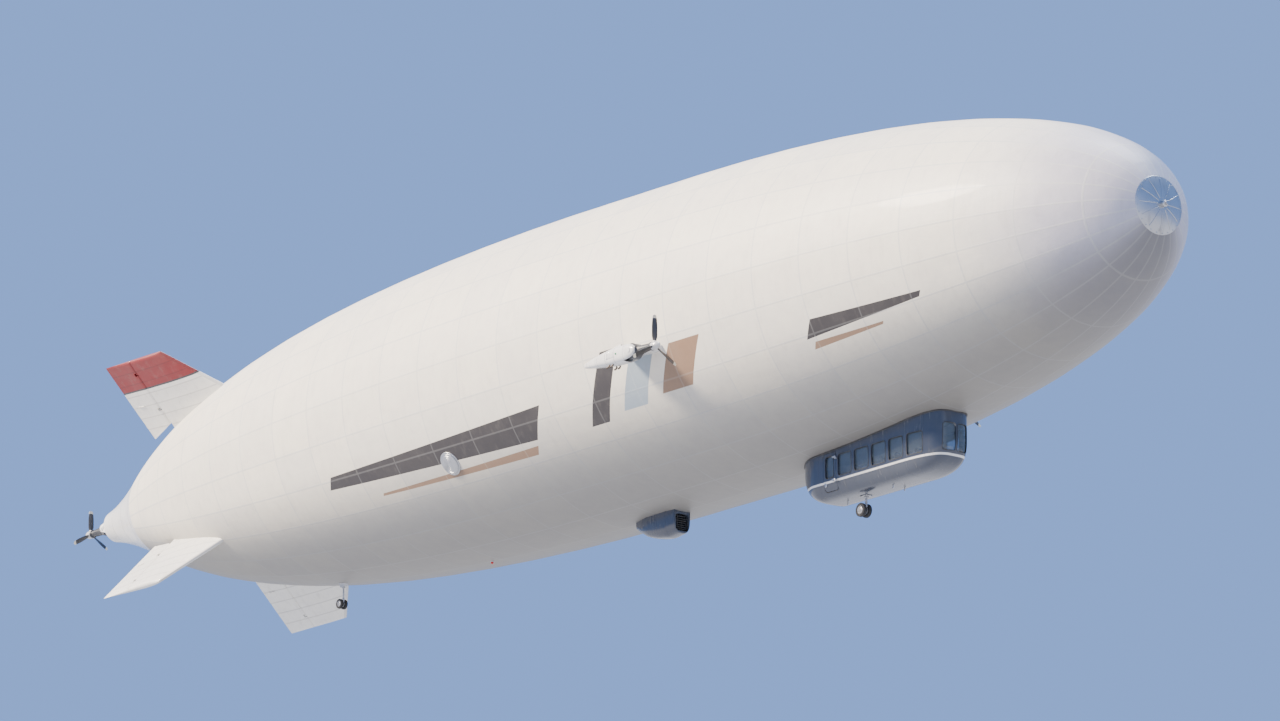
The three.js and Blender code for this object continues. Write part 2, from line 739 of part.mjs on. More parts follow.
// Each hinge has a pin on a strap from the door, in an eye on a bracket from the wall below it
const [, wallSide, wallDepth] = GONDOLA_SECTIONS[4];
const doorHingeY = -(wallSide + DOOR_HINGE_OFFSET);
const doorHingeX = forward(GONDOLA_AFT + DOOR_HINGE_PLACE);
const doorHinge = [doorHingeX, doorHingeY, 0];
for (const depth of DOOR_HINGE_DEPTHS) {
  const z = KEEL_Z - depth;
  const top = depth - DOOR_STRAP_HALF;
  const bottom = depth + DOOR_STRAP_HALF;
  const strapEnd = DOOR_START + DOOR_STRAP_REACH;
  const strap = cabinBox(
    DOOR_HINGE_PLACE - 12,
    strapEnd,
    doorHingeY - 14,
    doorHingeY + 14,
    top,
    bottom,
  );
  const root = cabinBox(strapEnd - 50, strapEnd, doorHingeY, GONDOLA_WALL - wallSide, top, bottom);
  const pin = bar("z", DOOR_PIN_RADIUS, z - 50, z + 10, doorHinge);
  door = door.add(strap).add(root).add(pin);
  const eye = bar("z", DOOR_EYE_RADIUS, z - 50, z - 20, doorHinge);
  const curve = (1 - (Math.max(depth, 0) / wallDepth) ** GONDOLA_BOXINESS) ** (1 / GONDOLA_BOXINESS);
  const bracket = cabinBox(
    DOOR_HINGE_PLACE - 45,
    DOOR_HINGE_PLACE,
    doorHingeY - 12,
    GONDOLA_WALL / 2 - wallSide * curve,
    depth + 20,
    depth + 50,
  );
  const bore = bar("z", boreRadius(DOOR_PIN_RADIUS), z - 60, z - 10, doorHinge);
  shell = shell.add(eye.add(bracket)).subtract(bore);
}

// The shell is split where its moulded panels meet: nose, tail, roof, belly and two sides
const cabinSlice = (start, end) => cabinBox(start, end, -CABIN_HALF, CABIN_HALF, CABIN_TOP, CABIN_BOTTOM);
const noseSlice = cabinSlice(-CABIN_HALF, NOSE_SHELL_END - SHELL_GAP);
const tailSlice = cabinSlice(TAIL_SHELL_START + SHELL_GAP, GONDOLA_LENGTH + CABIN_HALF);
const middle = shell.intersect(cabinSlice(NOSE_SHELL_END, TAIL_SHELL_START));
function roofZone(margin) {
  const half = ROOF_PANEL_HALF + margin;
  return cabinBox(NOSE_SHELL_END, TAIL_SHELL_START, -half, half, CABIN_TOP, ROOF_PANEL_BOTTOM);
}
function bellyZone(margin) {
  const half = BELLY_PANEL_HALF + margin;
  return cabinBox(NOSE_SHELL_END, TAIL_SHELL_START, -half, half, BELLY_PANEL_TOP, CABIN_BOTTOM);
}
const sides = middle.subtract(roofZone(SHELL_GAP)).subtract(bellyZone(SHELL_GAP));
const sideZone = (side) =>
  wallBox(side, NOSE_SHELL_END, TAIL_SHELL_START, CABIN_TOP, CABIN_BOTTOM);
piece("gondola_nose", shell.intersect(noseSlice), white);
piece("gondola_tail", shell.intersect(tailSlice), white);
piece("gondola_roof", middle.intersect(roofZone(0)), white);
piece("gondola_belly", middle.intersect(bellyZone(0)), white);
piece("gondola_side_port", sides.intersect(sideZone(1)), white);
piece("gondola_side_starboard", sides.intersect(sideZone(-1)), white);
piece("passenger_door", door, white);

// Glazing: one clear panel round the front and one along each side, inside the wall, and the door's own
const glassTop = WINDOW_TOP - GLASS_LAP;
const glassBottom = WINDOW_BOTTOM + GLASS_LAP;
const portGlassEnd = PORT_REAR_WINDOW + WINDOW_LENGTH + GLASS_LAP;
const starboardGlassEnd = DOOR_START - GLASS_LAP;
const windscreenZone = cabinBox(
  -10,
  WINDSCREEN_END,
  -CABIN_HALF,
  CABIN_HALF,
  FRONT_PANE_TOP - GLASS_LAP,
  glassBottom,
);
const glazing = [
  // name, zone
  ["windscreen", windscreenZone],
  ["side_glazing_port", wallBox(1, WINDSCREEN_END + 4, portGlassEnd, glassTop, glassBottom)],
  ["side_glazing_starboard", wallBox(-1, WINDSCREEN_END + 4, starboardGlassEnd, glassTop, glassBottom)],
  [
    "passenger_door_glass",
    wallBox(
      -1,
      DOOR_START + DOOR_POST - GLASS_LAP,
      DOOR_END - DOOR_POST + GLASS_LAP,
      glassTop,
      glassBottom,
    ),
  ],
];
for (const [name, zone] of glazing) {
  piece(name, glassForm.intersect(zone), glass);
}

// Floor
const floorZone = cabinBox(
  FLOOR_START,
  FLOOR_END,
  -CABIN_HALF,
  CABIN_HALF,
  FLOOR_TOP,
  FLOOR_TOP + FLOOR_THICKNESS,
);
piece("gondola_floor", gondolaForm(GONDOLA_WALL + FIT_GAP).intersect(floorZone), dark);

// A seat: a pedestal, a squab and a back, facing forward
const seatFloor = FLOOR_TOP - FIT_GAP;
const squabTop = seatFloor - SEAT_CUSHION_HEIGHT;
function seat(place, side) {
  const y0 = side - SEAT_WIDTH / 2;
  const y1 = side + SEAT_WIDTH / 2;
  const pedestal = cabinBox(
    place - SEAT_PEDESTAL_HALF,
    place + SEAT_PEDESTAL_HALF,
    side - SEAT_PEDESTAL_HALF,
    side + SEAT_PEDESTAL_HALF,
    squabTop + SEAT_CUSHION_THICKNESS / 2,
    seatFloor,
  );
  const cushion = cabinBox(
    place - SEAT_CUSHION_HALF_LENGTH,
    place + SEAT_CUSHION_HALF_LENGTH,
    y0,
    y1,
    squabTop,
    squabTop + SEAT_CUSHION_THICKNESS,
  );
  const back = cabinBox(
    place + SEAT_BACK_START,
    place + SEAT_BACK_END,
    y0,
    y1,
    squabTop - SEAT_BACK_HEIGHT,
    squabTop + SEAT_CUSHION_THICKNESS / 2,
  );
  return pedestal.add(cushion).add(back);
}
piece("pilot_seat_port", seat(PILOT_SEAT_PLACE, PILOT_SEAT_SIDE), cloth);
piece("pilot_seat_starboard", seat(PILOT_SEAT_PLACE, -PILOT_SEAT_SIDE), cloth);

// A row of single seats joined by the two floor rails that they are locked to
function seatRow(places, side) {
  const start = places[0] - SEAT_RAIL_MARGIN;
  const end = places[places.length - 1] + SEAT_RAIL_MARGIN;
  const rail = (inner, outer) =>
    cabinBox(start, end, side + inner, side + outer, seatFloor - SEAT_RAIL_HEIGHT, seatFloor);
  let row = rail(SEAT_RAIL_INNER, SEAT_RAIL_OUTER).add(rail(-SEAT_RAIL_OUTER, -SEAT_RAIL_INNER));
  for (const place of places) {
    row = row.add(seat(place, side));
  }
  return row;
}
piece("passenger_seats_port", seatRow(PORT_SEAT_PLACES, PASSENGER_SEAT_SIDE), cloth);
piece("passenger_seats_starboard", seatRow(STARBOARD_SEAT_PLACES, -PASSENGER_SEAT_SIDE), cloth);

// Instrument panel, whose shelf runs back to a column on the floor
const columnStart = FLOOR_START + 10;
const panel = cabinBox(PANEL.start, PANEL.end, -PANEL.halfWidth, PANEL.halfWidth, PANEL.top, PANEL.bottom);
const shelf = cabinBox(
  PEDESTAL.start,
  columnStart + 20,
  -PEDESTAL.halfWidth,
  PEDESTAL.halfWidth,
  PEDESTAL.top,
  PEDESTAL.bottom,
);
const column = cabinBox(
  columnStart,
  PEDESTAL.end,
  -PEDESTAL.halfWidth,
  PEDESTAL.halfWidth,
  PEDESTAL.top,
  seatFloor,
);
piece("instrument_panel", panel.add(shelf).add(column), dark);

// Landing gear: a fixed leg, a castoring shank and a pair of wheels on one axle
function landingGear(name, gear, footZ, legBase) {
  const x = forward(gear.aft);
  const strutEnd = footZ - GEAR_FOOT_THICKNESS - gear.strutLength;
  const shankTop = strutEnd - RUNNING_GAP;
  const axleZ = shankTop - gear.wheelRadius - 10;
  const axleX = x - gear.trail;
  const strut = bar("z", gear.strutRadius, strutEnd, footZ - 4, [x, 0, 0]);
  piece(`${name}_gear_leg`, legBase.add(strut), metal);
  const armHalf = gear.wheelInner - 10;
  const shankEnd = axleZ + gear.wheelRadius * 0.4;
  const shank = bar("z", gear.strutRadius, shankEnd, shankTop, [x, 0, 0]);
  const armLoop = (front, back, frontZ, backZ) => [
    [front, -armHalf * 0.7, frontZ],
    [front, armHalf * 0.7, frontZ],
    [back, armHalf * 0.7, backZ],
    [back, -armHalf * 0.7, backZ],
  ];
  const arm = loft([
    armLoop(x + 22, x - 26, axleZ + gear.wheelRadius * 0.7, axleZ + gear.wheelRadius * 0.95),
    armLoop(axleX + 20, axleX - 34, axleZ - 30, axleZ - 6),
  ]);
  const axlePlace = [axleX, 0, axleZ];
  const hub = bar("y", GEAR_HUB_RADIUS, -armHalf, armHalf, axlePlace);
  const bore = bar("y", boreRadius(AXLE_RADIUS), -60, 60, axlePlace);
  piece(`${name}_gear_fork`, shank.add(arm).add(hub).subtract(bore), metal);
  const axleReach = gear.wheelInner + 20;
  let wheels = bar("y", AXLE_RADIUS, -axleReach, axleReach, axlePlace);
  for (const side of [-1, 1]) {
    const inner = gear.wheelInner;
    const outer = gear.wheelInner + gear.wheelWidth;
    const round = gear.wheelRadius * 0.1;
    const profile = [
      [inner, 0],
      [inner, gear.wheelRadius - round],
      [inner + round, gear.wheelRadius],
      [outer - round, gear.wheelRadius],
      [outer, gear.wheelRadius - round],
      [outer, 0],
    ];
    const wheel = turned(profile, 24).rotate([0, 0, 90 * side]);
    wheels = wheels.add(wheel.translate(axlePlace));
  }
  piece(`${name}_wheels`, wheels, tyre);
}

const mainFootZ = KEEL_Z - MAIN_GEAR.footDepth - FIT_GAP;
const mainX = forward(MAIN_GEAR.aft);
const mainBase = box(
  mainX - MAIN_FOOT_HALF_LENGTH,
  mainX + MAIN_FOOT_HALF_LENGTH,
  -MAIN_FOOT_HALF_WIDTH,
  MAIN_FOOT_HALF_WIDTH,
  mainFootZ - GEAR_FOOT_THICKNESS,
  mainFootZ,
);
landingGear("main", MAIN_GEAR, mainFootZ, mainBase);

const tailFootZ = -hullRadius(TAIL_GEAR.aft) - TAIL_FOOT_DROP;
const tailX = forward(TAIL_GEAR.aft);
const footLoop = (halfLength, halfWidth, z) => [
  [tailX - halfLength, -halfWidth, z],
  [tailX + halfLength, -halfWidth, z],
  [tailX + halfLength, halfWidth, z],
  [tailX - halfLength, halfWidth, z],
];
const tailBase = loft([
  footLoop(240, 110, tailFootZ + 220),
  footLoop(90, 50, tailFootZ - GEAR_FOOT_THICKNESS),
]).subtract(hullTrim);
landingGear("tail", TAIL_GEAR, tailFootZ, tailBase);

// Flank pods: all in the pod's own frame, whose origin is the swivel's axis
function podForm(inset, places) {
  const sides = 16;
  return loft(
    places.map(([x, halfWidth, halfHeight]) => {
      const loop = [];
      for (let i = 0; i < sides; i += 1) {
        const angle = (Math.PI * 2 * i) / sides;
        const across = Math.sign(Math.cos(angle)) * Math.abs(Math.cos(angle)) ** 0.75;
        const up = Math.sign(Math.sin(angle)) * Math.abs(Math.sin(angle)) ** 0.75;
        loop.push([x, (halfWidth - inset) * across, (halfHeight - inset) * up]);
      }
      return loop;
    }),
  );
}

const podCavity = [
  [POD_SLOT_BACK - 25, 195, 194],
  [-600, 195, 190],
  [-1000, 165, 150],
  [-1300, 125, 110],
];
const podBore = boreRadius(TRUNNION_RADIUS, TRUNNION_SIDES);
const bearer = box(
  POD_ENGINE.back + 50,
  POD_ENGINE.front - 50,
  -90,
  90,
  -180,
  POD_ENGINE.bottom - RUNNING_GAP,
).intersect(podForm(5, POD_SECTIONS));
const cowling = podForm(0, POD_SECTIONS)
  .subtract(box(POD_SLOT_BACK, 300, -POD_SLOT_HALF_WIDTH, POD_SLOT_HALF_WIDTH, -300, 300))
  .subtract(podForm(POD_WALL, podCavity))
  .add(bearer)
  .subtract(bar("y", podBore, -300, 300, [0, 0, 0], TRUNNION_SIDES))
  .subtract(bar("x", 60, POD_SLOT_BACK - 60, POD_SLOT_BACK + 20, [0, 0, 0]));
const podEngine = box(
  POD_ENGINE.back,
  POD_ENGINE.front,
  -POD_ENGINE.halfWidth,
  POD_ENGINE.halfWidth,
  POD_ENGINE.bottom,
  POD_ENGINE.top,
);

// The strut runs from the pod's middle to the hull, its broad section lying fore and aft
const podRadius = Math.hypot(POD_SIDE, POD_Z);
const podDroop = Math.atan2(-POD_Z, POD_SIDE);
function strutLoop(reach, front, back) {
  const middle = (front + back) / 2;
  const half = STRUT_THICKNESS / 2;
  const outline = [
    [front, 0],
    [front - 60, half * 0.7],
    [middle, half],
    [back + 160, half * 0.45],
    [back, 0],
    [back + 160, -half * 0.45],
    [middle, -half],
    [front - 60, -half * 0.7],
  ];
  return outline.map(([x, z]) => [x, reach, z]);
}

for (const [name, side] of [
  ["port", 1],
  ["starboard", -1],
]) {
  const place = [forward(POD_PIVOT_AFT), side * POD_SIDE, POD_Z];
  const droop = THREE.MathUtils.radToDeg(podDroop);
  const turn = side > 0 ? 180 - droop : droop;
  const strut = loft([
    strutLoop(0, -300, -1150),
    strutLoop(podRadius - HULL_RADIUS + STRUT_ROOT_SINK, -150, -1300),
  ])
    .rotate([turn, 0, 0])
    .subtract(podForm(-FIT_GAP, POD_SECTIONS))
    .translate(place)
    .subtract(hullTrim);
  piece(`pod_strut_${name}`, strut, white);
  piece(`pod_cowling_${name}`, cowling, white, place);
  piece(`pod_engine_${name}`, podEngine, metal, place);
  piece(`pod_head_${name}`, gearHead(POD_NECK_LENGTH, DRUM_RADIUS), dark, place);
  piece(`propeller_${name}`, propeller(POD_BLADE_RADIUS, POD_NECK_LENGTH), dark, place);
}

// Ballonet scoop
const scoopIntake = box(
  forward(SCOOP_INTAKE.end),
  forward(SCOOP_SECTIONS[0][0] - 100),
  -SCOOP_INTAKE.halfWidth,
  SCOOP_INTAKE.halfWidth,
  KEEL_Z - SCOOP_INTAKE.bottom,
  KEEL_Z - SCOOP_INTAKE.top,
);
const scoop = loft(
  SCOOP_SECTIONS.map(([aft, halfWidth, depth]) => {
    const x = forward(aft);
    const loop = [];
    for (let i = 0; i <= SCOOP_STEPS; i += 1) {
      const angle = (Math.PI * i) / SCOOP_STEPS;
      const across = Math.sign(Math.cos(angle)) * Math.abs(Math.cos(angle)) ** 0.6;
      const down = Math.abs(Math.sin(angle)) ** 0.6;
      loop.push([x, halfWidth * across, KEEL_Z - depth * down]);
    }
    loop.push([x, -halfWidth, KEEL_Z + 60]);
    loop.push([x, halfWidth, KEEL_Z + 60]);
    return loop;
  }),
)
  .subtract(scoopIntake)
  .subtract(hullTrim);
piece("ballonet_scoop", scoop, white);

// Gas valve hoods
const valveBase = hullRadius(VALVE_AFT);
const valvePlace = [forward(VALVE_AFT), 0, 0];
for (const [name, side] of [
  ["port", 1],
  ["starboard", -1],
]) {
  const hood = bar("z", VALVE_RADIUS, valveBase - 80, valveBase + VALVE_HEIGHT, valvePlace, 20)
    .rotate([-side * VALVE_ANGLE, 0, 0])
    .subtract(hullTrim);
  piece(`helium_valve_${name}`, hood, metal);
}

export default craft;
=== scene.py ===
import math

import bpy
from mathutils import Matrix, Vector


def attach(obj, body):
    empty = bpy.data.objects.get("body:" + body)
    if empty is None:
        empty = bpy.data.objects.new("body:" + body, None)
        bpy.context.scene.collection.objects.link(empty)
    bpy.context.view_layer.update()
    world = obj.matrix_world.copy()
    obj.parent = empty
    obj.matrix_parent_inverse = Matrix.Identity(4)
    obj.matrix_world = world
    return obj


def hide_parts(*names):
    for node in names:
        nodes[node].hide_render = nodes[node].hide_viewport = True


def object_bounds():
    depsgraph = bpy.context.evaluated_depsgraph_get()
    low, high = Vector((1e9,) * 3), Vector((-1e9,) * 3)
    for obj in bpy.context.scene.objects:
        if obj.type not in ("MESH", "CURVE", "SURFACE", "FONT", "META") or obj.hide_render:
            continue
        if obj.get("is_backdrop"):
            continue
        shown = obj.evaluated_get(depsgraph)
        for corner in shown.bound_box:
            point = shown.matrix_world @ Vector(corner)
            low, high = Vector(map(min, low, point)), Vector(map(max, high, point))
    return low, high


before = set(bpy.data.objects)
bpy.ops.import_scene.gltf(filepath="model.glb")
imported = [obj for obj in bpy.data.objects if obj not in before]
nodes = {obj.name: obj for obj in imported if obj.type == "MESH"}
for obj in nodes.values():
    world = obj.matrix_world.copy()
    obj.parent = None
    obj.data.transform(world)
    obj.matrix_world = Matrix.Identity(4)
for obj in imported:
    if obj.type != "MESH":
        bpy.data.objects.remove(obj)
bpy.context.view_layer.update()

# Camera: the craft is seen from far off and from below, off its starboard bow, through a long lens.
# The eye stands at floor level, as it does for someone who watches the craft fly over.
VIEW_DISTANCE = 340
VIEW_DIRECTION = Vector((0.753, -0.609, -0.25)).normalized()
VIEW_CENTRE = Vector((-1.1, 0.2, 0.19))
LENS = 440
FARTHEST_SEEN = 5000
bpy.ops.object.camera_add(location=VIEW_CENTRE + VIEW_DIRECTION * VIEW_DISTANCE)
camera = bpy.context.object
camera.rotation_euler = (-VIEW_DIRECTION).to_track_quat("-Z", "Y").to_euler()
camera.data.lens = LENS
camera.data.clip_end = FARTHEST_SEEN
bpy.context.scene.camera = camera

# Floor and sky: a plain pale ground far below, and an even pale blue light all round.
# The ground is large enough to run to the horizon in every view.
EYE_HEIGHT = 1.5
FLOOR_RADIUS = 4000
FLOOR_GREY = (0.3, 0.31, 0.33, 1)
SKY_BLUE = (0.28, 0.48, 1.04, 1)
SKY_STRENGTH = 0.95
bpy.ops.mesh.primitive_circle_add(
    vertices=96, radius=FLOOR_RADIUS, fill_type="TRIFAN", location=(0, 0, camera.location.z - EYE_HEIGHT)
)
floor = bpy.context.object
floor.name = "floor"
floor_paint = bpy.data.materials.new("pale floor")
floor_paint.use_nodes = True
floor_shader = floor_paint.node_tree.nodes["Principled BSDF"]
floor_shader.inputs["Base Color"].default_value = FLOOR_GREY
floor_shader.inputs["Roughness"].default_value = 0.9
floor.data.materials.append(floor_paint)
floor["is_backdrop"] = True

sky = bpy.data.worlds.new("pale sky")
sky.use_nodes = True
sky_light = sky.node_tree.nodes["Background"]
sky_light.inputs["Color"].default_value = SKY_BLUE
sky_light.inputs["Strength"].default_value = SKY_STRENGTH
bpy.context.scene.world = sky

# Lamps: a warm key from astern on the starboard side, a cool one from above and a weak fill from ahead.
# All are suns with wide discs, so that their shadows are soft.
LAMP_DISTANCE = 60
LAMPS = [
    # name, direction that it comes from, strength, width in degrees, colour
    ("key", (-0.5, -0.8, 0.68), 15.0, 14, (1.0, 0.86, 0.68)),
    ("top", (-0.1, 0.35, 1.0), 4.0, 30, (0.82, 0.9, 1.0)),
    ("fill", (0.9, -0.35, 0.1), 0.2, 40, (0.9, 0.93, 1.0)),
]
for name, source, strength, width, colour in LAMPS:
    bpy.ops.object.light_add(type="SUN", location=Vector(source) * LAMP_DISTANCE)
    lamp = bpy.context.object
    lamp.name = name + " lamp"
    lamp.rotation_euler = Vector(source).to_track_quat("Z", "Y").to_euler()
    lamp.data.energy = strength
    lamp.data.angle = math.radians(width)
    lamp.data.color = colour

# Envelope: the gas-tight hull of white laminated cloth, welded from lengthwise gores over light rings.
# The cloth of each bay lies a little lower than its gore seams and its rings.
HULL_LENGTH = 35.5
HULL_RADIUS = 3.55
BUOYANCY_AFT = 16.5
BOW_END = 0.4 * HULL_LENGTH
STERN_START = 0.48 * HULL_LENGTH
BOW_POWER = 2.25
STERN_POWER = 0.45
STERN_SLIMMING = 0.35
SKIN = 0.01
GORES = 24
STEPS_PER_GORE = 8
RING_SPACING = 1.42
STATIONS_PER_RING = 6
GORE_SAG = 0.007
RING_SAG = 0.004
SAG_FADE = 0.8
DISH_RADIUS = 0.64
TAIL_CONE_AFT = 34.3
SAME_PLACE = 1e-5


def hull_radius(aft):
    """The hull's radius at a distance behind the nose tip."""
    if aft < BOW_END:
        bow = (BOW_END - aft) / BOW_END
        return HULL_RADIUS * (1 - bow**BOW_POWER) ** (1 / BOW_POWER)
    if aft < STERN_START:
        return HULL_RADIUS
    stern = (aft - STERN_START) / (HULL_LENGTH - STERN_START)
    return HULL_RADIUS * (1 - stern**2) ** STERN_POWER * (1 - STERN_SLIMMING * stern**6)


def hull_at(x):
    """The hull's radius at a place along X."""
    return hull_radius(BUOYANCY_AFT - x)


def alone(piece):
    """Selects one piece and makes it the active one."""
    bpy.ops.object.select_all(action="DESELECT")
    piece.select_set(True)
    bpy.context.view_layer.objects.active = piece


def closed_up():
    """Turns every face of the mesh that is being edited outward, and ends the edit."""
    bpy.ops.mesh.select_all(action="SELECT")
    bpy.ops.mesh.normals_make_consistent(inside=False)
    bpy.ops.object.mode_set(mode="OBJECT")


def spun(name, profile, steps, centre=(0, 0, 0), axis=(1, 0, 0)):
    """An outline of places and radii, extruded point by point and then spun about an axis."""
    out = Vector((1, 0, 0)) if axis[2] else Vector((0, 0, 1))
    points = [Vector(centre) + Vector(axis) * place + out * radius for place, radius in profile]
    bpy.ops.mesh.primitive_plane_add(size=0.01)
    turned = bpy.context.object
    turned.name = name
    bpy.ops.object.mode_set(mode="EDIT")
    bpy.ops.mesh.merge(type="CENTER")
    bpy.ops.transform.translate(value=points[0])
    for here, there in zip(points, points[1:]):
        bpy.ops.mesh.extrude_region_move(TRANSFORM_OT_translate={"value": there - here})
    bpy.ops.mesh.select_all(action="SELECT")
    bpy.ops.mesh.spin(steps=steps, angle=math.tau, center=centre, axis=axis)
    bpy.ops.mesh.select_all(action="SELECT")
    bpy.ops.mesh.remove_doubles(threshold=SAME_PLACE)
    closed_up()
    return turned


def modified(piece, kind, **settings):
    """Puts a modifier on a piece and applies it."""
    alone(piece)
    bpy.ops.object.modifier_add(type=kind)
    modifier = piece.modifiers[-1]
    for setting, value in settings.items():
        setattr(modifier, setting, value)
    bpy.ops.object.modifier_apply(modifier=modifier.name)
    return piece


def smoothed(piece, degrees=35):
    """Shades a piece smooth, apart from edges sharper than an angle."""
    alone(piece)
    bpy.ops.object.shade_smooth_by_angle(angle=math.radians(degrees))
    return piece


dish_edge = (1 - (DISH_RADIUS / HULL_RADIUS) ** BOW_POWER) ** (1 / BOW_POWER)
dish_aft = BOW_END * (1 - dish_edge)
cloth_length = TAIL_CONE_AFT - dish_aft
hull_stations = []
station_count = round(cloth_length / RING_SPACING) * STATIONS_PER_RING
for i in range(station_count + 1):
    share = i / station_count
    crowded = share - 0.35 * math.sin(math.tau * share) / math.tau
    hull_stations.append(dish_aft + cloth_length * (0.4 * share + 0.6 * crowded))
envelope = spun(
    "envelope_skin",
    [(BUOYANCY_AFT - aft, hull_radius(aft)) for aft in hull_stations],
    GORES * STEPS_PER_GORE,
)
for vertex in envelope.data.vertices:
    x, y, z = vertex.co
    around = math.atan2(y, z)
    radius = math.hypot(y, z)
    ends = min(1, (BUOYANCY_AFT - dish_aft - x) / SAG_FADE, (x - BUOYANCY_AFT + TAIL_CONE_AFT) / SAG_FADE)
    gore_sag = GORE_SAG * abs(math.sin(GORES / 2 * around)) * radius / HULL_RADIUS
    ring_sag = RING_SAG * abs(math.sin(math.pi * x / RING_SPACING))
    drawn = 1 - ends * (gore_sag + ring_sag) / radius
    vertex.co = (x, y * drawn, z * drawn)
modified(envelope, "SOLIDIFY", thickness=SKIN, offset=-1)
smoothed(envelope, 60)
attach(envelope, "root")
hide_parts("envelope")

# Weathering is shared by the painted, metal and cloth finishes: broad mottling, fine grain and runs of grime.
# It gives a colour, a mask of the grime and a height.
PATCH_SHARE = 0.45
SPECK_SHARE = 0.5
FINE_HEIGHT = 0.6
FADED_SHADES = ((0.93, 0.93, 0.94), (1.0, 1.0, 0.99))


def add(tree, kind, inputs=None, **settings):
    """Adds a shader node, sets it up, and sets or links its inputs."""
    made = tree.nodes.new("ShaderNode" + kind)
    for setting, value in settings.items():
        setattr(made, setting, value)
    for name, value in (inputs or {}).items():
        if isinstance(value, bpy.types.NodeSocket):
            tree.links.new(value, made.inputs[name])
        else:
            made.inputs[name].default_value = value
    return made


def calc(tree, operation, first, second=0.0, clamp=False):
    """A Math node's result."""
    inputs = {0: first} if operation in ("ABSOLUTE", "FRACT", "FLOOR") else {0: first, 1: second}
    return add(tree, "Math", inputs, operation=operation, use_clamp=clamp).outputs[0]


def times(tree, first, second):
    """One value times another."""
    return calc(tree, "MULTIPLY", first, second)


def plus(tree, first, second):
    """The sum of two values."""
    return calc(tree, "ADD", first, second)


def minus(tree, first, second):
    """One value less another."""
    return calc(tree, "SUBTRACT", first, second)


def step(tree, value, low, high):
    """A soft step from 0 at one value to 1 at another."""
    inputs = {"Value": value, "From Min": low, "From Max": high}
    return add(tree, "MapRange", inputs, interpolation_type="SMOOTHSTEP").outputs["Result"]


def blended(tree, share, first, second, blend="MIX"):
    """A mix of two colours by a share."""
    mix = add(tree, "Mix", {"Factor": share}, data_type="RGBA", blend_type=blend)
    for socket, value in zip([s for s in mix.inputs if s.type == "RGBA"], (first, second)):
        if isinstance(value, bpy.types.NodeSocket):
            tree.links.new(value, socket)
        else:
            socket.default_value = (*value, 1)
    return [s for s in mix.outputs if s.type == "RGBA"][0]


def noise(tree, place, scale, detail, **inputs):
    """A cloudy noise's value at a place."""
    return add(tree, "TexNoise", {"Vector": place, "Scale": scale, "Detail": detail, **inputs}).outputs[0]


def object_axes(tree):
    """Object coordinates, whole and as X, Y and Z."""
    place = add(tree, "TexCoord").outputs["Object"]
    split = add(tree, "SeparateXYZ", {0: place}).outputs
    return place, split[0], split[1], split[2]


def new_group(name, inputs, outputs):
    """A node group with its sockets, and its two end nodes."""
    group = bpy.data.node_groups.new(name, "ShaderNodeTree")
    for socket, kind, value in inputs:
        made = group.interface.new_socket(socket, in_out="INPUT", socket_type="NodeSocket" + kind)
        made.default_value = value
    for socket, kind in outputs:
        group.interface.new_socket(socket, in_out="OUTPUT", socket_type="NodeSocket" + kind)
    return group, group.nodes.new("NodeGroupInput").outputs, group.nodes.new("NodeGroupOutput").inputs


weathering, given, out = new_group(
    "weathering",
    [
        ("Paint", "Color", (0.8, 0.8, 0.8, 1)),
        ("Grime", "Color", (0.2, 0.19, 0.17, 1)),
        ("Amount", "Float", 0.3),
        ("Grain", "Float", 8.0),
    ],
    [("Colour", "Color"), ("Dirt", "Float"), ("Height", "Float")],
)
place, *_ = object_axes(weathering)
broad = noise(weathering, place, 0.9, 5.0, Roughness=0.6)
fine = noise(weathering, place, given["Grain"], 6.0, Roughness=0.65)
downward = add(weathering, "VectorMath", {0: place, 1: (5.0, 5.0, 0.7)}, operation="MULTIPLY").outputs[0]
runs = noise(weathering, downward, 1.3, 4.0, Roughness=0.6)
patches = step(weathering, broad, 0.42, 0.68)
streaks = step(weathering, runs, 0.5, 0.74)
specks = step(weathering, fine, 0.55, 0.78)
soiled = plus(weathering, times(weathering, patches, PATCH_SHARE), streaks)
soiled = plus(weathering, soiled, times(weathering, specks, SPECK_SHARE))
dirt = calc(weathering, "MULTIPLY", soiled, given["Amount"], clamp=True)
faded = blended(weathering, step(weathering, fine, 0.3, 0.7), *FADED_SHADES)
paint = blended(weathering, 1.0, given["Paint"], faded, "MULTIPLY")
weathering.links.new(blended(weathering, dirt, paint, given["Grime"]), out["Colour"])
weathering.links.new(dirt, out["Dirt"])
grain = times(weathering, fine, FINE_HEIGHT)
weathering.links.new(plus(weathering, grain, broad), out["Height"])


def finish(name, paint, grime, amount, grain, roughness, metallic=0.0, coat=0.0, bump=0.002, spread=0.2):
    """A material whose paint weathers. Returns it with its tree, its weathering node and its bump node."""
    material = bpy.data.materials.new(name)
    material.use_nodes = True
    tree = material.node_tree
    shader = tree.nodes["Principled BSDF"]
    shader.inputs["Metallic"].default_value = metallic
    shader.inputs["Coat Weight"].default_value = coat
    wear = add(tree, "Group", node_tree=weathering)
    wear.inputs["Paint"].default_value = (*paint, 1)
    wear.inputs["Grime"].default_value = (*grime, 1)
    wear.inputs["Amount"].default_value = amount
    wear.inputs["Grain"].default_value = grain
    tree.links.new(wear.outputs["Colour"], shader.inputs["Base Color"])
    rough = times(tree, wear.outputs["Dirt"], spread)
    tree.links.new(calc(tree, "ADD", rough, roughness, clamp=True), shader.inputs["Roughness"])
    relief = add(tree, "Bump", {"Height": wear.outputs["Height"], "Distance": bump, "Strength": 0.6})
    tree.links.new(relief.outputs[0], shader.inputs["Normal"])
    return material, tree, wear, relief


def painted(piece, *materials):
    """Gives a piece its materials in place of those that it has."""
    piece.data.materials.clear()
    for material in materials:
        piece.data.materials.append(material)


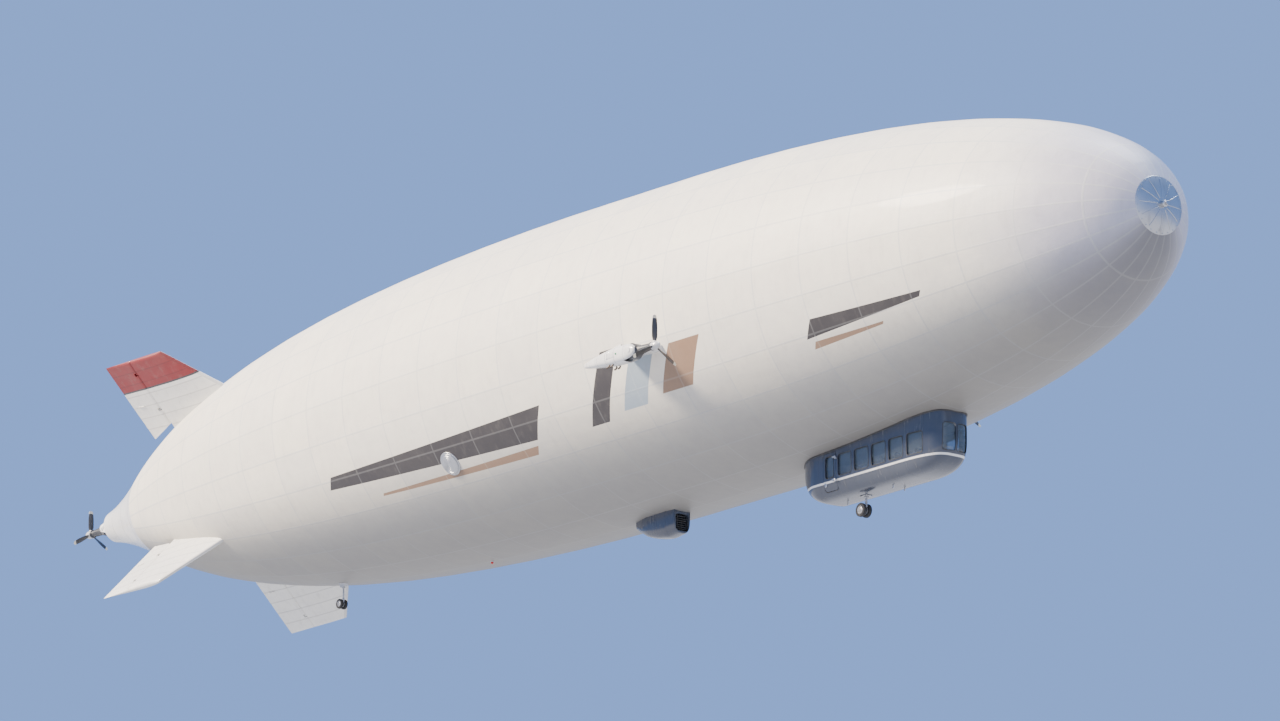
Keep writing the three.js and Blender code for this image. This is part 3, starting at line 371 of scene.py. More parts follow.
# Hull cloth: cream-white laminate, each gore panel a shade of its own, with welded seam tapes.
# The flanks carry plain stripes. The nose is painted greyer as painted shade, and the belly is painted dark
# grey as painted shade.
HULL_WHITE = (0.84, 0.79, 0.69)
HULL_GRIME = (0.24, 0.22, 0.19)
PANEL_SHADES = ((0.925, 0.93, 0.945), (1.0, 0.995, 0.975))
SEAM_TAPE = (0.6, 0.6, 0.58)
SEAM_HALF = 0.022
TAPE_ON_CLOTH = 0.55
TAPE_ON_STRIPES = 0.1
TAPE_HEIGHT = 0.25
CREASE_HEIGHT = 1.3
NOSE_SHADE_GREY = (0.53, 0.51, 0.57)
NOSE_SHADE_SPAN = (13.4, 16.2)
NOSE_SHADE_RAGGED = 1.6
BELLY_SHADE_GREY = (0.12, 0.118, 0.115)
BELLY_SHADE_SPAN = (-1.0, -0.35)
BELLY_SHADE_SHARE = 0.85
RINGS_AHEAD = 40.0
SHADES_PER_RING = 37.0
STRIPE_LEAN = 0.7
DARK_STRIPE = (0.035, 0.031, 0.033)
BLUE_STRIPE = (0.3, 0.36, 0.42)
TAN_STRIPE = (0.26, 0.16, 0.1)
FLANK_STRIPES = [
    # start and end along X, degrees below the level line, half height at the start and end, colour
    (-8.2, -0.6, 31, 0.14, 0.36, DARK_STRIPE),
    (-6.6, -1.0, 40.5, 0.03, 0.1, TAN_STRIPE),
    (1.5, 2.1, 26, 0.75, 0.75, DARK_STRIPE),
    (2.6, 3.4, 26, 0.62, 0.62, BLUE_STRIPE),
    (3.9, 4.9, 26, 0.5, 0.5, TAN_STRIPE),
    (8.4, 11.6, 28, 0.2, 0.06, DARK_STRIPE),
    (8.4, 10.4, 34.5, 0.08, 0.03, TAN_STRIPE),
]


def off_axis(tree, y, z):
    """The distance from the hull's axis."""
    crosswise = add(tree, "CombineXYZ", {1: y, 2: z}).outputs[0]
    return add(tree, "VectorMath", {0: crosswise}, operation="LENGTH").outputs["Value"]


def to_nearest(tree, share):
    """How far a share is from the nearest whole number, for a share between 0 and 1."""
    return calc(tree, "MINIMUM", share, minus(tree, 1.0, share))


hull_cloth, tree, wear, relief = finish(
    "hull cloth", HULL_WHITE, HULL_GRIME, amount=0.1, grain=3.0, roughness=0.5, coat=0.05, bump=0.01
)
place, x, y, z = object_axes(tree)
radius = off_axis(tree, y, z)
gore = times(tree, calc(tree, "ARCTAN2", y, z), GORES / math.tau)
gore = plus(tree, gore, float(GORES))
gore_width = times(tree, radius, math.tau / GORES)
to_seam = times(tree, to_nearest(tree, calc(tree, "FRACT", gore)), gore_width)
bay = times(tree, plus(tree, x, RINGS_AHEAD * RING_SPACING), 1 / RING_SPACING)
to_ring = times(tree, to_nearest(tree, calc(tree, "FRACT", bay)), RING_SPACING)
to_tape = calc(tree, "MINIMUM", to_seam, to_ring)
tape = minus(tree, 1.0, step(tree, to_tape, SEAM_HALF * 0.7, SEAM_HALF))
panel_number = times(tree, calc(tree, "FLOOR", bay), SHADES_PER_RING)
panel_number = plus(tree, calc(tree, "FLOOR", gore), panel_number)
panel_shade = add(tree, "TexWhiteNoise", {"W": panel_number}, noise_dimensions="1D").outputs["Value"]
cloth = blended(tree, 1.0, HULL_WHITE, blended(tree, panel_shade, *PANEL_SHADES), "MULTIPLY")
# Painted shade: the nose is painted a greyer lavender, with a ragged edge, where it lies in shade.
nose_shade_edge = times(tree, noise(tree, place, 0.8, 3.0), NOSE_SHADE_RAGGED)
nose_shade = step(tree, plus(tree, x, nose_shade_edge), *NOSE_SHADE_SPAN)
cloth = blended(tree, nose_shade, cloth, NOSE_SHADE_GREY)
cloth = blended(tree, times(tree, tape, TAPE_ON_CLOTH), cloth, SEAM_TAPE)
# Painted shade: the cloth is painted dark grey towards the bottom, where the belly lies in shade.
belly_shade = minus(tree, 1.0, step(tree, calc(tree, "DIVIDE", z, radius), *BELLY_SHADE_SPAN))
cloth = blended(tree, times(tree, belly_shade, BELLY_SHADE_SHARE), cloth, BELLY_SHADE_GREY)
dip = calc(tree, "ARCTAN2", times(tree, z, -1.0), calc(tree, "ABSOLUTE", y))
for start, end, degrees, half_start, half_end, colour in FLANK_STRIPES:
    offset = minus(tree, dip, math.radians(degrees))
    offset = times(tree, offset, radius)
    leaning = plus(tree, x, times(tree, offset, STRIPE_LEAN))
    spread = {"Value": leaning, "From Min": start, "From Max": end, "To Min": half_start, "To Max": half_end}
    half = add(tree, "MapRange", spread).outputs["Result"]
    stripe = calc(tree, "LESS_THAN", calc(tree, "ABSOLUTE", offset), half)
    stripe = times(tree, stripe, calc(tree, "GREATER_THAN", leaning, start))
    stripe = times(tree, stripe, calc(tree, "LESS_THAN", leaning, end))
    cloth = blended(tree, stripe, cloth, colour)
cloth = blended(tree, times(tree, tape, TAPE_ON_STRIPES), cloth, SEAM_TAPE)
tree.links.new(cloth, wear.inputs["Paint"])
creases = add(tree, "VectorMath", {0: place, 1: (0.25, 1.0, 1.0)}, operation="MULTIPLY").outputs[0]
creases = times(tree, noise(tree, creases, 2.4, 3.0, Distortion=0.4), CREASE_HEIGHT)
height = plus(tree, creases, wear.outputs["Height"])
height = plus(tree, height, times(tree, tape, TAPE_HEIGHT))
tree.links.new(height, relief.inputs["Height"])
painted(envelope, hull_cloth)

# Cabin well: the envelope is open where the gondola's roof is let into it, along the gondola's plan.
# A strip of black rubber closes the joint between cloth and shell.
GONDOLA_NOSE = 9.8
KEEL = -HULL_RADIUS
GONDOLA_SECTIONS = [
    # place behind the gondola's nose, half width, depth below the keel line
    (0, 0.2, 0.33),
    (0.08, 0.34, 0.54),
    (0.25, 0.45, 0.7),
    (0.6, 0.535, 0.81),
    (1.1, 0.57, 0.85),
    (4.05, 0.57, 0.85),
    (4.4, 0.48, 0.715),
    (4.68, 0.3, 0.45),
    (4.8, 0.18, 0.28),
]
ROOF_SINK = 0.06
WELL_LAP = 0.012
WELL_TOP = -2.7
WELL_BOTTOM = -4.2
SEAL_RADIUS = 0.016
SEAL_OUTWARD = 0.004
SLOPE_LIMIT = 2.5


def between(low, high, share):
    """The value at a share of the way from one value to another."""
    return low + (high - low) * share


def section_size(sections, place):
    """The sizes at a place between sections, with rounded changes from one to the next."""
    place = min(max(place, sections[0][0]), sections[-1][0])
    i = 0
    while place > sections[i + 1][0]:
        i += 1
    (start, *first), (end, *second) = sections[i], sections[i + 1]
    before = sections[max(i - 1, 0)]
    after = sections[min(i + 2, len(sections) - 1)]
    share = (place - start) / (end - start)
    kept = 2 * share**3 - 3 * share**2 + 1
    sizes = []
    for k, (here, there) in enumerate(zip(first, second), 1):
        straight = there - here
        slopes = [(there - before[k]) / (end - before[0]), (after[k] - here) / (after[0] - start)]
        steepest = sorted((0, SLOPE_LIMIT * straight))
        leaving, arriving = [min(max(slope * (end - start), steepest[0]), steepest[1]) for slope in slopes]
        curving = leaving * (share**3 - 2 * share**2 + share) + arriving * (share**3 - share**2)
        sizes.append(kept * here + (1 - kept) * there + curving)
    return sizes


def gondola_size(place):
    """The gondola's half width and depth at a place behind its nose."""
    return section_size(GONDOLA_SECTIONS, place)


def hull_underside(x, y):
    """The height of the hull's lower side."""
    return -math.sqrt(max(hull_at(x) ** 2 - y * y, 0))


def lofted(name, sections):
    """A closed skin over sections, equally long rings of points, from a grid laid on them."""
    rows = len(sections) - 1
    columns = len(sections[0])
    bpy.ops.mesh.primitive_grid_add(x_subdivisions=rows, y_subdivisions=columns, size=1)
    skin = bpy.context.object
    skin.name = name
    for vertex in skin.data.vertices:
        row = round((vertex.co.x + 0.5) * rows)
        column = round((vertex.co.y + 0.5) * columns) % columns
        vertex.co = sections[row][column]
    bpy.ops.object.mode_set(mode="EDIT")
    bpy.ops.mesh.select_all(action="SELECT")
    bpy.ops.mesh.remove_doubles(threshold=SAME_PLACE)
    bpy.ops.mesh.select_all(action="DESELECT")
    bpy.ops.mesh.select_non_manifold()
    bpy.ops.mesh.fill_holes(sides=0)
    closed_up()
    return skin


def cut_away(piece, cutter, operation="DIFFERENCE"):
    """Cuts a piece with a closed form, or keeps only what lies in it."""
    modified(piece, "BOOLEAN", object=cutter, operation=operation, solver="EXACT")
    bpy.data.objects.remove(cutter)
    return piece


GONDOLA_LENGTH = GONDOLA_SECTIONS[-1][0]
END_ROUND = 0.05
END_SHRINK = 0.22
END_POWER = 2.5


def end_taper(place, inset):
    """How much a section shrinks where the gondola's two ends round off."""
    near = min(place - inset, GONDOLA_LENGTH - inset - place)
    return 1 - END_SHRINK * (1 - min(1, max(0, near / END_ROUND))) ** END_POWER


plan = []
plan_steps = 72
for i in range(plan_steps + 1):
    share = 0.5 - 0.5 * math.cos(math.pi * i / plan_steps)
    length = share * GONDOLA_LENGTH
    plan.append((GONDOLA_NOSE - length, gondola_size(length)[0] * end_taper(length, 0) - WELL_LAP))
well_outline = plan + [(x, -y) for x, y in reversed(plan)]
well = lofted("well", [[(x, y, z) for x, y in well_outline] for z in (WELL_BOTTOM, WELL_TOP)])
cut_away(envelope, well)
smoothed(envelope, 60)


def tube(name, points, radius, sides=3, closed=False):
    """A round bar along a line of points, made from a curve with a bevel."""
    bpy.ops.curve.primitive_nurbs_path_add()
    rod = bpy.context.object
    rod.name = name
    rod.data.splines.clear()
    line = rod.data.splines.new("POLY")
    line.points.add(len(points) - 1)
    for point, place in zip(line.points, points):
        point.co = (*place, 1)
    line.use_cyclic_u = closed
    rod.data.bevel_depth = radius
    rod.data.bevel_resolution = sides
    rod.data.use_fill_caps = True
    bpy.ops.object.convert(target="MESH")
    return smoothed(bpy.context.object, 50)


seal_line = []
for x, y in plan + [(x, -y) for x, y in reversed(plan[1:-1])]:
    outward = 1 if y > 0 else -1
    across = y + outward * (WELL_LAP + SEAL_OUTWARD)
    seal_line.append((x, across, hull_underside(x, y) - SEAL_OUTWARD))
roof_seal = tube("roof_seal", seal_line, SEAL_RADIUS, 3, closed=True)
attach(roof_seal, "root")
rubber, *_ = finish("seal rubber", (0.035, 0.035, 0.038), (0.16, 0.15, 0.13), 0.35, 30, 0.6, bump=0.0008)
painted(roof_seal, rubber)

# Nose dish: a spun aluminium cone on the bow, stiffened by pressed ribs and a bolted rim.
# It carries the mooring spindle, a turned steel post with a collar.
SPINDLE_END = 16.66
DISH_WALL = 0.03
SPINDLE_PROFILE = [(SPINDLE_END, 0.041), (16.656, 0.045), (16.6, 0.045), (16.58, 0.075), (16.52, 0.075)]
DISH_RADII = (0.09, 0.12, 0.18, 0.26, 0.34, 0.42, 0.5, 0.57, 0.62)
DISH_RIBS = 12
RIB_REACH = (0.13, 0.57)
RIB_STEPS = 10
RIB_RADIUS = 0.009
RIM_BOLTS = 24
BOLT_CIRCLE = 0.605


def bow_place(radius):
    """Where along X the bow has a radius."""
    return BUOYANCY_AFT - BOW_END * (1 - (1 - (radius / HULL_RADIUS) ** BOW_POWER) ** (1 / BOW_POWER))


rim_place = bow_place(DISH_RADIUS)
dish_profile = [(SPINDLE_END, 0), *SPINDLE_PROFILE, (bow_place(0.08), 0.08)]
dish_profile += [(bow_place(radius), radius) for radius in DISH_RADII]
dish_profile += [(rim_place + 0.002, DISH_RADIUS - 0.004), (rim_place - 0.004, DISH_RADIUS)]
dish_profile += [(rim_place - DISH_WALL, DISH_RADIUS - 0.02)]
dish_profile += [(bow_place(radius) - DISH_WALL, radius) for radius in (0.5, 0.3, 0.1, 0)]
nose_dish = spun("nose_dish", dish_profile, 96)
ribs = []
for i in range(DISH_RIBS):
    turn = math.tau * i / DISH_RIBS
    reaches = [between(*RIB_REACH, k / RIB_STEPS) for k in range(RIB_STEPS + 1)]
    line = [(bow_place(reach), -reach * math.sin(turn), reach * math.cos(turn)) for reach in reaches]
    ribs.append(tube("rib", line, RIB_RADIUS))
rim_bolts = []
for i in range(RIM_BOLTS):
    turn = math.tau * (i + 0.5) / RIM_BOLTS
    across, up = -BOLT_CIRCLE * math.sin(turn), BOLT_CIRCLE * math.cos(turn)
    bpy.ops.mesh.primitive_cylinder_add(
        vertices=6,
        radius=0.012,
        depth=0.014,
        location=(bow_place(BOLT_CIRCLE) + 0.003, across, up),
        rotation=(0, math.pi / 2, 0),
    )
    bpy.ops.object.transform_apply()
    rim_bolts.append(bpy.context.object)


def joined(name, pieces):
    """Joins pieces into one mesh at the origin."""
    bpy.ops.object.select_all(action="DESELECT")
    for piece in pieces:
        piece.select_set(True)
    bpy.context.view_layer.objects.active = pieces[0]
    bpy.ops.object.join()
    whole = bpy.context.object
    bpy.ops.object.transform_apply()
    whole.name = name
    return whole


nose_dish = joined("nose_dish", [nose_dish, *ribs, *rim_bolts])
smoothed(nose_dish, 40)
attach(nose_dish, "root")
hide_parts("nose_cone")
brushed, tree, wear, relief = finish(
    "spun aluminium",
    (0.55, 0.56, 0.58),
    (0.2, 0.19, 0.18),
    amount=0.35,
    grain=40,
    roughness=0.32,
    metallic=1.0,
    bump=0.001,
)
place, x, y, z = object_axes(tree)
lathe = add(tree, "TexNoise", {"W": off_axis(tree, y, z), "Scale": 260.0}, noise_dimensions="1D")
tree.links.new(plus(tree, wear.outputs["Height"], lathe.outputs[0]), relief.inputs["Height"])
painted(nose_dish, brushed)

# Tail cone: a white composite fairing over the stern engine, closed by a bulkhead with two cheeks.
# The cheeks hold the tilting propeller head, with a boss on the outside of each.
TAIL_FRONT = -17.8
TAIL_END = -19.7
TAIL_END_RADIUS = 0.36
TAIL_FRONT_RADIUS = hull_at(TAIL_FRONT)
TAIL_POWER = 1.3
TAIL_WALL = 0.022
BULKHEAD = 0.06
STERN_AXIS = -19.98
CHEEK_TIP = -20.04
CHEEK_ROOT = TAIL_END + 0.04
CHEEK_TIP_HALF = 0.075
CHEEK_ROOT_HALF = 0.19
CHEEK_MIDDLE = 0.16
CHEEK_HALF = 0.03
CHEEK_BOSSES = ((0.062, 0.014), (0.03, 0.026))


def tail_radius(x):
    """The tail cone's radius at a place along X."""
    share = (TAIL_FRONT - x) / (TAIL_FRONT - TAIL_END)
    return between(TAIL_END_RADIUS, TAIL_FRONT_RADIUS, (1 - share) ** TAIL_POWER)


def bar(start, end, radius, sides=24, bevel=0.003):
    """A round bar between two points, with bevelled ends."""
    start, end = Vector(start), Vector(end)
    bpy.ops.mesh.primitive_cylinder_add(
        vertices=sides,
        radius=radius,
        depth=(end - start).length,
        location=(start + end) / 2,
        rotation=(end - start).to_track_quat("Z", "Y").to_euler(),
    )
    bpy.ops.object.transform_apply()
    made = bpy.context.object
    if bevel:
        modified(made, "BEVEL", width=bevel, segments=2, limit_method="ANGLE")
    return made


tail_steps = 22
outside = []
for i in range(tail_steps + 1):
    x = between(TAIL_FRONT, TAIL_END, i / tail_steps)
    outside.append((x, tail_radius(x)))
bulkhead_face = TAIL_END + BULKHEAD
inside = [(x, radius - TAIL_WALL) for x, radius in outside[:-1] if x > bulkhead_face + 0.02]
inside += [(bulkhead_face, tail_radius(bulkhead_face) - TAIL_WALL), (bulkhead_face, 0)]
profile = [(TAIL_END, 0), (TAIL_END, 0.33), (TAIL_END + 0.012, 0.354), *reversed(outside[:-1])]
tail_shell = spun("tail_cone_shell", [*profile, *inside], 96)
cheeks = []
for side in (1, -1):
    bpy.ops.mesh.primitive_cube_add(size=1)
    cheek = bpy.context.object
    for vertex in cheek.data.vertices:
        back = vertex.co.x < 0
        x = CHEEK_TIP if back else CHEEK_ROOT
        half = CHEEK_TIP_HALF if back else CHEEK_ROOT_HALF
        across = CHEEK_MIDDLE + math.copysign(CHEEK_HALF, vertex.co.y)
        vertex.co = (x, side * across, math.copysign(half, vertex.co.z))
    modified(cheek, "BEVEL", width=0.018, segments=3, limit_method="ANGLE")
    cheeks.append(cheek)
    outer = side * (CHEEK_MIDDLE + CHEEK_HALF)
    for radius, depth in CHEEK_BOSSES:
        cheeks.append(bar((STERN_AXIS, outer, 0), (STERN_AXIS, outer + side * depth, 0), radius, 24, 0.004))
tail_shell = joined("tail_cone_shell", [tail_shell, *cheeks])
smoothed(tail_shell)
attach(tail_shell, "root")
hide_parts("tail_cone")

# Panel joints are shared by the composite parts: dark lines at even steps along one axis.
# A line of rivets runs along both sides of each joint.
RIVET_LINE = 0.022
RIVET_LINE_HALF = 0.009
RIVET_SIZE = 0.2
panel_joints, given, out = new_group(
    "panel joints",
    [("Along", "Float", 0.0), ("Spacing", "Float", 0.5), ("Half width", "Float", 0.004)],
    [("Line", "Float"), ("Rivets", "Float")],
)
place, x, y, z = object_axes(panel_joints)
cell = calc(panel_joints, "DIVIDE", given["Along"], given["Spacing"])
cell = calc(panel_joints, "FRACT", plus(panel_joints, cell, 200.0))
near = times(panel_joints, to_nearest(panel_joints, cell), given["Spacing"])
line = calc(panel_joints, "LESS_THAN", near, given["Half width"])
panel_joints.links.new(line, out["Line"])
row = calc(panel_joints, "ABSOLUTE", minus(panel_joints, near, RIVET_LINE))
dots = add(panel_joints, "TexVoronoi", {"Vector": place, "Scale": 28.0}, feature="F1").outputs["Distance"]
in_row = calc(panel_joints, "LESS_THAN", row, RIVET_LINE_HALF)
rivets = times(panel_joints, in_row, calc(panel_joints, "LESS_THAN", dots, RIVET_SIZE))
panel_joints.links.new(rivets, out["Rivets"])

PANEL_WHITE = (0.79, 0.785, 0.765)
PANEL_GRIME = (0.23, 0.21, 0.18)
SLATE_GRIME = (0.1, 0.095, 0.085)
JOINT_BLACK = (0.02, 0.02, 0.02)
JOINT_SHARE = 0.75


def panel_finish(name, spacing, axis, amount, half_width=0.0045, start=0.0, paint=PANEL_WHITE, waist=None):
    """Gloss composite with joints at even steps along an axis, and a waist line where heights are given."""
    material, tree, wear, relief = finish(
        name,
        paint,
        PANEL_GRIME if paint == PANEL_WHITE else SLATE_GRIME,
        amount=amount,
        grain=9,
        roughness=0.24,
        coat=0.35,
        bump=0.0015,
    )
    axes = object_axes(tree)
    joints = add(tree, "Group", node_tree=panel_joints)
    tree.links.new(minus(tree, axes[axis], start), joints.inputs["Along"])
    joints.inputs["Spacing"].default_value = spacing
    joints.inputs["Half width"].default_value = half_width
    if waist:
        above = calc(tree, "GREATER_THAN", axes[3], waist[0])
        band = times(tree, above, calc(tree, "LESS_THAN", axes[3], waist[1]))
        paint = blended(tree, band, paint, PANEL_WHITE)
    marked = blended(tree, times(tree, joints.outputs["Line"], JOINT_SHARE), paint, JOINT_BLACK)
    tree.links.new(marked, wear.inputs["Paint"])
    sunk = minus(tree, wear.outputs["Height"], joints.outputs["Line"])
    tree.links.new(plus(tree, sunk, joints.outputs["Rivets"]), relief.inputs["Height"])
    return material


painted(tail_shell, panel_finish("tail composite", spacing=0.62, axis=1, amount=0.3))

# Fins: four fixed fins of cloth over ribs, set crosswise on the stern, with tapes over every rib.
# Each is shaped standing straight up, then turned about the hull's axis to its place.
FIN_TURNS = {"upper_port": 45, "lower_port": 135, "lower_starboard": 225, "upper_starboard": 315}
FIN_TIP = 3.75
FIN_TIP_LEADING = -14.6
FIN_SWEEP = 1.0
HINGE_LINE = -15.75
FIN_TRAILING = -16.6
FIN_THICKNESS = ((1.7, 0.3), (FIN_TIP, 0.14))
HINGE_SHARE = 0.36
HINGE_GAP = 0.008
TIP_ROUND = 0.06
TIP_SHARES = (0.4, 0.7, 0.9, 1.0)
TIP_LEAST = 0.12
RIB_SPACING = 0.29
RIB_SAG = 0.004
HINGE_RADII = (2.45, 3.4)


def fin_thickness(radius):
    """A fin's thickness at a distance from the hull's axis."""
    (inner, thick), (outer, thin) = FIN_THICKNESS
    return between(thick, thin, (radius - inner) / (outer - inner))


def fin_back(radius):
    """Where along X a fin ends, a little in front of its flap."""
    return HINGE_LINE + fin_thickness(radius) * HINGE_SHARE + HINGE_GAP


def tip_share(radius):
    """The share of the thickness that is left by the rounded tip."""
    rounded = max(0, (radius - FIN_TIP + TIP_ROUND) / TIP_ROUND)
    return max(TIP_LEAST, math.sqrt(max(0, 1 - rounded**2)))


def rib_dip(radius, share):
    """How far the cloth dips between ribs, from none at the front and back edges."""
    return RIB_SAG * abs(math.sin(math.pi * radius / RIB_SPACING)) * math.sin(math.pi * min(1, share * 1.02))


def span_steps(root, tip, count):
    """Distances from the axis, from root to tip, closer together where the tip rounds off."""
    flat = tip - TIP_ROUND
    steps = [between(root, flat, i / count) for i in range(count + 1)]
    return steps + [flat + TIP_ROUND * share for share in TIP_SHARES]


def blocky(low, high, bevel=0.006):
    """A block between two corners, with bevelled edges."""
    bpy.ops.mesh.primitive_cube_add(size=1)
    block = bpy.context.object
    for vertex in block.data.vertices:
        vertex.co = [(a + b) / 2 + side * (b - a) for a, b, side in zip(low, high, vertex.co)]
    if bevel:
        modified(block, "BEVEL", width=bevel, segments=2, limit_method="ANGLE")
    return block


FIN_SIDE_POINTS = 22
FIN_SPAN_STEPS = 34
FIN_ROOT_GUESS = 2.2
FIN_FRONT_POWER = 2.3
FIN_BACK_FALL = 0.28
FIN_BACK_POWER = 1.3
ARM_HALF = 0.028
ARM_HALF_HEIGHT = 0.03
ARM_ROOT = 0.05
KNUCKLE_RADIUS = 0.038
span_levels = [(k / FIN_SPAN_STEPS, 0) for k in range(FIN_SPAN_STEPS + 1)]
span_levels += [(1, rounded) for rounded in TIP_SHARES]


def fin_point(share, level, rounded):
    """A point on the fin's side, at a share of the chord and of the way from the hull to the tip."""
    radius = FIN_ROOT_GUESS
    for _ in range(12):
        front = FIN_TIP_LEADING + (FIN_TIP - radius) * FIN_SWEEP
        back = fin_back(radius)
        x = between(front, back, share)
        if share < 0.5:
            fullness = (1 - (1 - 2 * share) ** FIN_FRONT_POWER) ** (1 / FIN_FRONT_POWER)
        else:
            fullness = 1 - FIN_BACK_FALL * (2 * share - 1) ** FIN_BACK_POWER
        half = fin_thickness(radius) / 2 * fullness
        root = math.sqrt(max(hull_at(x) ** 2 - half**2, 0.04)) - 0.02
        flat = FIN_TIP - TIP_ROUND
        radius = between(root, flat, level) + TIP_ROUND * rounded
    return x, max(0, half * tip_share(radius) - rib_dip(radius, share)), radius


sections = []
for level, rounded in span_levels:
    side = [fin_point((i / FIN_SIDE_POINTS) ** 1.7, level, rounded) for i in range(FIN_SIDE_POINTS + 1)]
    sections.append([(x, -y, z) for x, y, z in reversed(side)] + side[1:])
upright_fin = lofted("upright fin", sections)
arms = []
for radius in HINGE_RADII:
    back = fin_back(radius)
    low, high = radius - ARM_HALF_HEIGHT, radius + ARM_HALF_HEIGHT
    arms.append(blocky((HINGE_LINE, -ARM_HALF, low), (back + ARM_ROOT, ARM_HALF, high), 0.004))
    arms.append(bar((HINGE_LINE, 0, low), (HINGE_LINE, 0, high), KNUCKLE_RADIUS, 28))
upright_fin = joined("upright fin", [upright_fin, *arms])
smoothed(upright_fin, 40)


def own_copy(piece, name):
    """A copy of a piece, with a mesh of its own."""
    copy = piece.copy()
    copy.data = piece.data.copy()
    copy.name = name
    bpy.context.collection.objects.link(copy)
    return copy


def turned_copy(piece, name, degrees):
    """A copy of a piece, turned about the hull's axis."""
    copy = own_copy(piece, name)
    copy.data.transform(Matrix.Rotation(math.radians(-degrees), 4, "X"))
    return copy


# Fin cloth: white, with raised tapes over the ribs and along the leading edge of each fin.
# The upper pair is red towards its tips, with a dark line where the red begins.
FIN_WHITE = (0.8, 0.79, 0.75)
FIN_RED = (0.22, 0.014, 0.016)
FIN_GRIME = (0.25, 0.22, 0.19)
RED_START = 3.02
RED_EDGE = (0.05, 0.05, 0.055)
RED_EDGE_HALF = 0.02
RIB_TAPE = (0.012, 0.016)
EDGE_TAPE = (-0.075, -0.06)
TAPE_SHADE = (0.72, 0.72, 0.73)
TAPE_SHARE = 0.8
TAPE_RISE = 0.4
fin_cloth, tree, wear, relief = finish(
    "fin cloth", FIN_WHITE, FIN_GRIME, amount=0.16, grain=6, roughness=0.42, coat=0.1, bump=0.004
)
place, x, y, z = object_axes(tree)
span = off_axis(tree, y, z)
rib = calc(tree, "FRACT", times(tree, span, 1 / RIB_SPACING))
to_rib = times(tree, to_nearest(tree, rib), RIB_SPACING)
rib_tape = minus(tree, 1.0, step(tree, to_rib, *RIB_TAPE))
leading = plus(tree, plus(tree, x, span), -(FIN_TIP_LEADING + FIN_TIP))
edge_tape = step(tree, leading, *EDGE_TAPE)
upper = calc(tree, "GREATER_THAN", z, 0.0)
red = times(tree, upper, calc(tree, "GREATER_THAN", span, RED_START))
band = calc(tree, "ABSOLUTE", minus(tree, span, RED_START))
band = times(tree, upper, calc(tree, "LESS_THAN", band, RED_EDGE_HALF))
cloth = blended(tree, red, FIN_WHITE, FIN_RED)
cloth = blended(tree, band, cloth, RED_EDGE)
tapes = calc(tree, "MAXIMUM", rib_tape, edge_tape)
darker = blended(tree, 1.0, cloth, TAPE_SHADE, "MULTIPLY")
cloth = blended(tree, times(tree, tapes, TAPE_SHARE), cloth, darker)
tree.links.new(cloth, wear.inputs["Paint"])
lifted = plus(tree, wear.outputs["Height"], times(tree, tapes, TAPE_RISE))
tree.links.new(lifted, relief.inputs["Height"])
painted(upright_fin, fin_cloth)
for name, degrees in FIN_TURNS.items():
    fin = turned_copy(upright_fin, "fin_cloth_" + name, degrees)
    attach(fin, "root")
    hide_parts("fin_" + name)
bpy.data.objects.remove(upright_fin)

# Ruddervators: the moving rear part of each fin, on two hinge pins, with a round nose and a thin rear edge.
# On each face a thin rod runs back to a small horn near the rear edge.
FLAP_ROOT = 2.03
FLAP_ROOT_FALL = 0.32
NOTCH_FRONT = 0.052
NOTCH_MARGIN = 0.01
REAR_EDGE_HALF = 0.006
PIN_RADIUS = 0.02
PIN_REACH = 0.04
ROD_LEVEL = 2.62
ROD_RADIUS = 0.009
nose_steps = 10
flat_steps = 10
sections = []
for radius in span_steps(FLAP_ROOT, FIN_TIP, 30):
    half = fin_thickness(radius) * HINGE_SHARE
    ring = []
    for i in range(flat_steps + 1):
        share = i / flat_steps
        x = between(FIN_TRAILING, HINGE_LINE, share)
        ring.append((x, between(REAR_EDGE_HALF, half, share), 1 - share))
    for i in range(1, nose_steps):
        angle = math.pi * i / nose_steps
        ring.append((HINGE_LINE + half * math.sin(angle), half * math.cos(angle), 0))
    ring += [(x, -y, share) for x, y, share in reversed(ring[: flat_steps + 1])]
    root_share = max(0, (FIN_TIP - TIP_ROUND - radius) / (FIN_TIP - TIP_ROUND - FLAP_ROOT))
    placed = []
    for x, y, share in ring:
        here = radius - root_share * FLAP_ROOT_FALL * (HINGE_LINE - x)
        dip = rib_dip(here, share) * (1 - share)
        side = 1 if y > 0 else -1
        placed.append((x, y * tip_share(radius) - side * dip, here))
    sections.append(placed)
upright_flap = lofted("upright flap", sections)
pins = []
for radius in HINGE_RADII:
    low, high = radius - ARM_HALF_HEIGHT, radius + ARM_HALF_HEIGHT
    back = fin_back(radius)
    notch = blocky(
        (HINGE_LINE - NOTCH_FRONT, -0.3, low - NOTCH_MARGIN), (back + ARM_ROOT, 0.3, high + NOTCH_MARGIN), 0
    )
    cut_away(upright_flap, notch)
    pins.append(bar((HINGE_LINE, 0, low - PIN_REACH), (HINGE_LINE, 0, high + PIN_REACH), PIN_RADIUS, 20, 0))
for side in (1, -1):
    rod_front = (HINGE_LINE - 0.42, side * 0.055, ROD_LEVEL)
    rod_back = (FIN_TRAILING + 0.24, side * 0.03, ROD_LEVEL)
    pins.append(bar(rod_front, rod_back, ROD_RADIUS, 10, 0))
    pins.append(blocky(
        (FIN_TRAILING + 0.22, min(0, side * 0.045), ROD_LEVEL - 0.02),
        (FIN_TRAILING + 0.27, max(0, side * 0.045), ROD_LEVEL + 0.02),
        0.004,
    ))
upright_flap = joined("upright flap", [upright_flap, *pins])
smoothed(upright_flap, 40)
painted(upright_flap, fin_cloth)
for name, degrees in FIN_TURNS.items():
    flap = turned_copy(upright_flap, "flap_" + name, degrees)
    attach(flap, "ruddervator_" + name)
    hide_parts("ruddervator_" + name)
bpy.data.objects.remove(upright_flap)

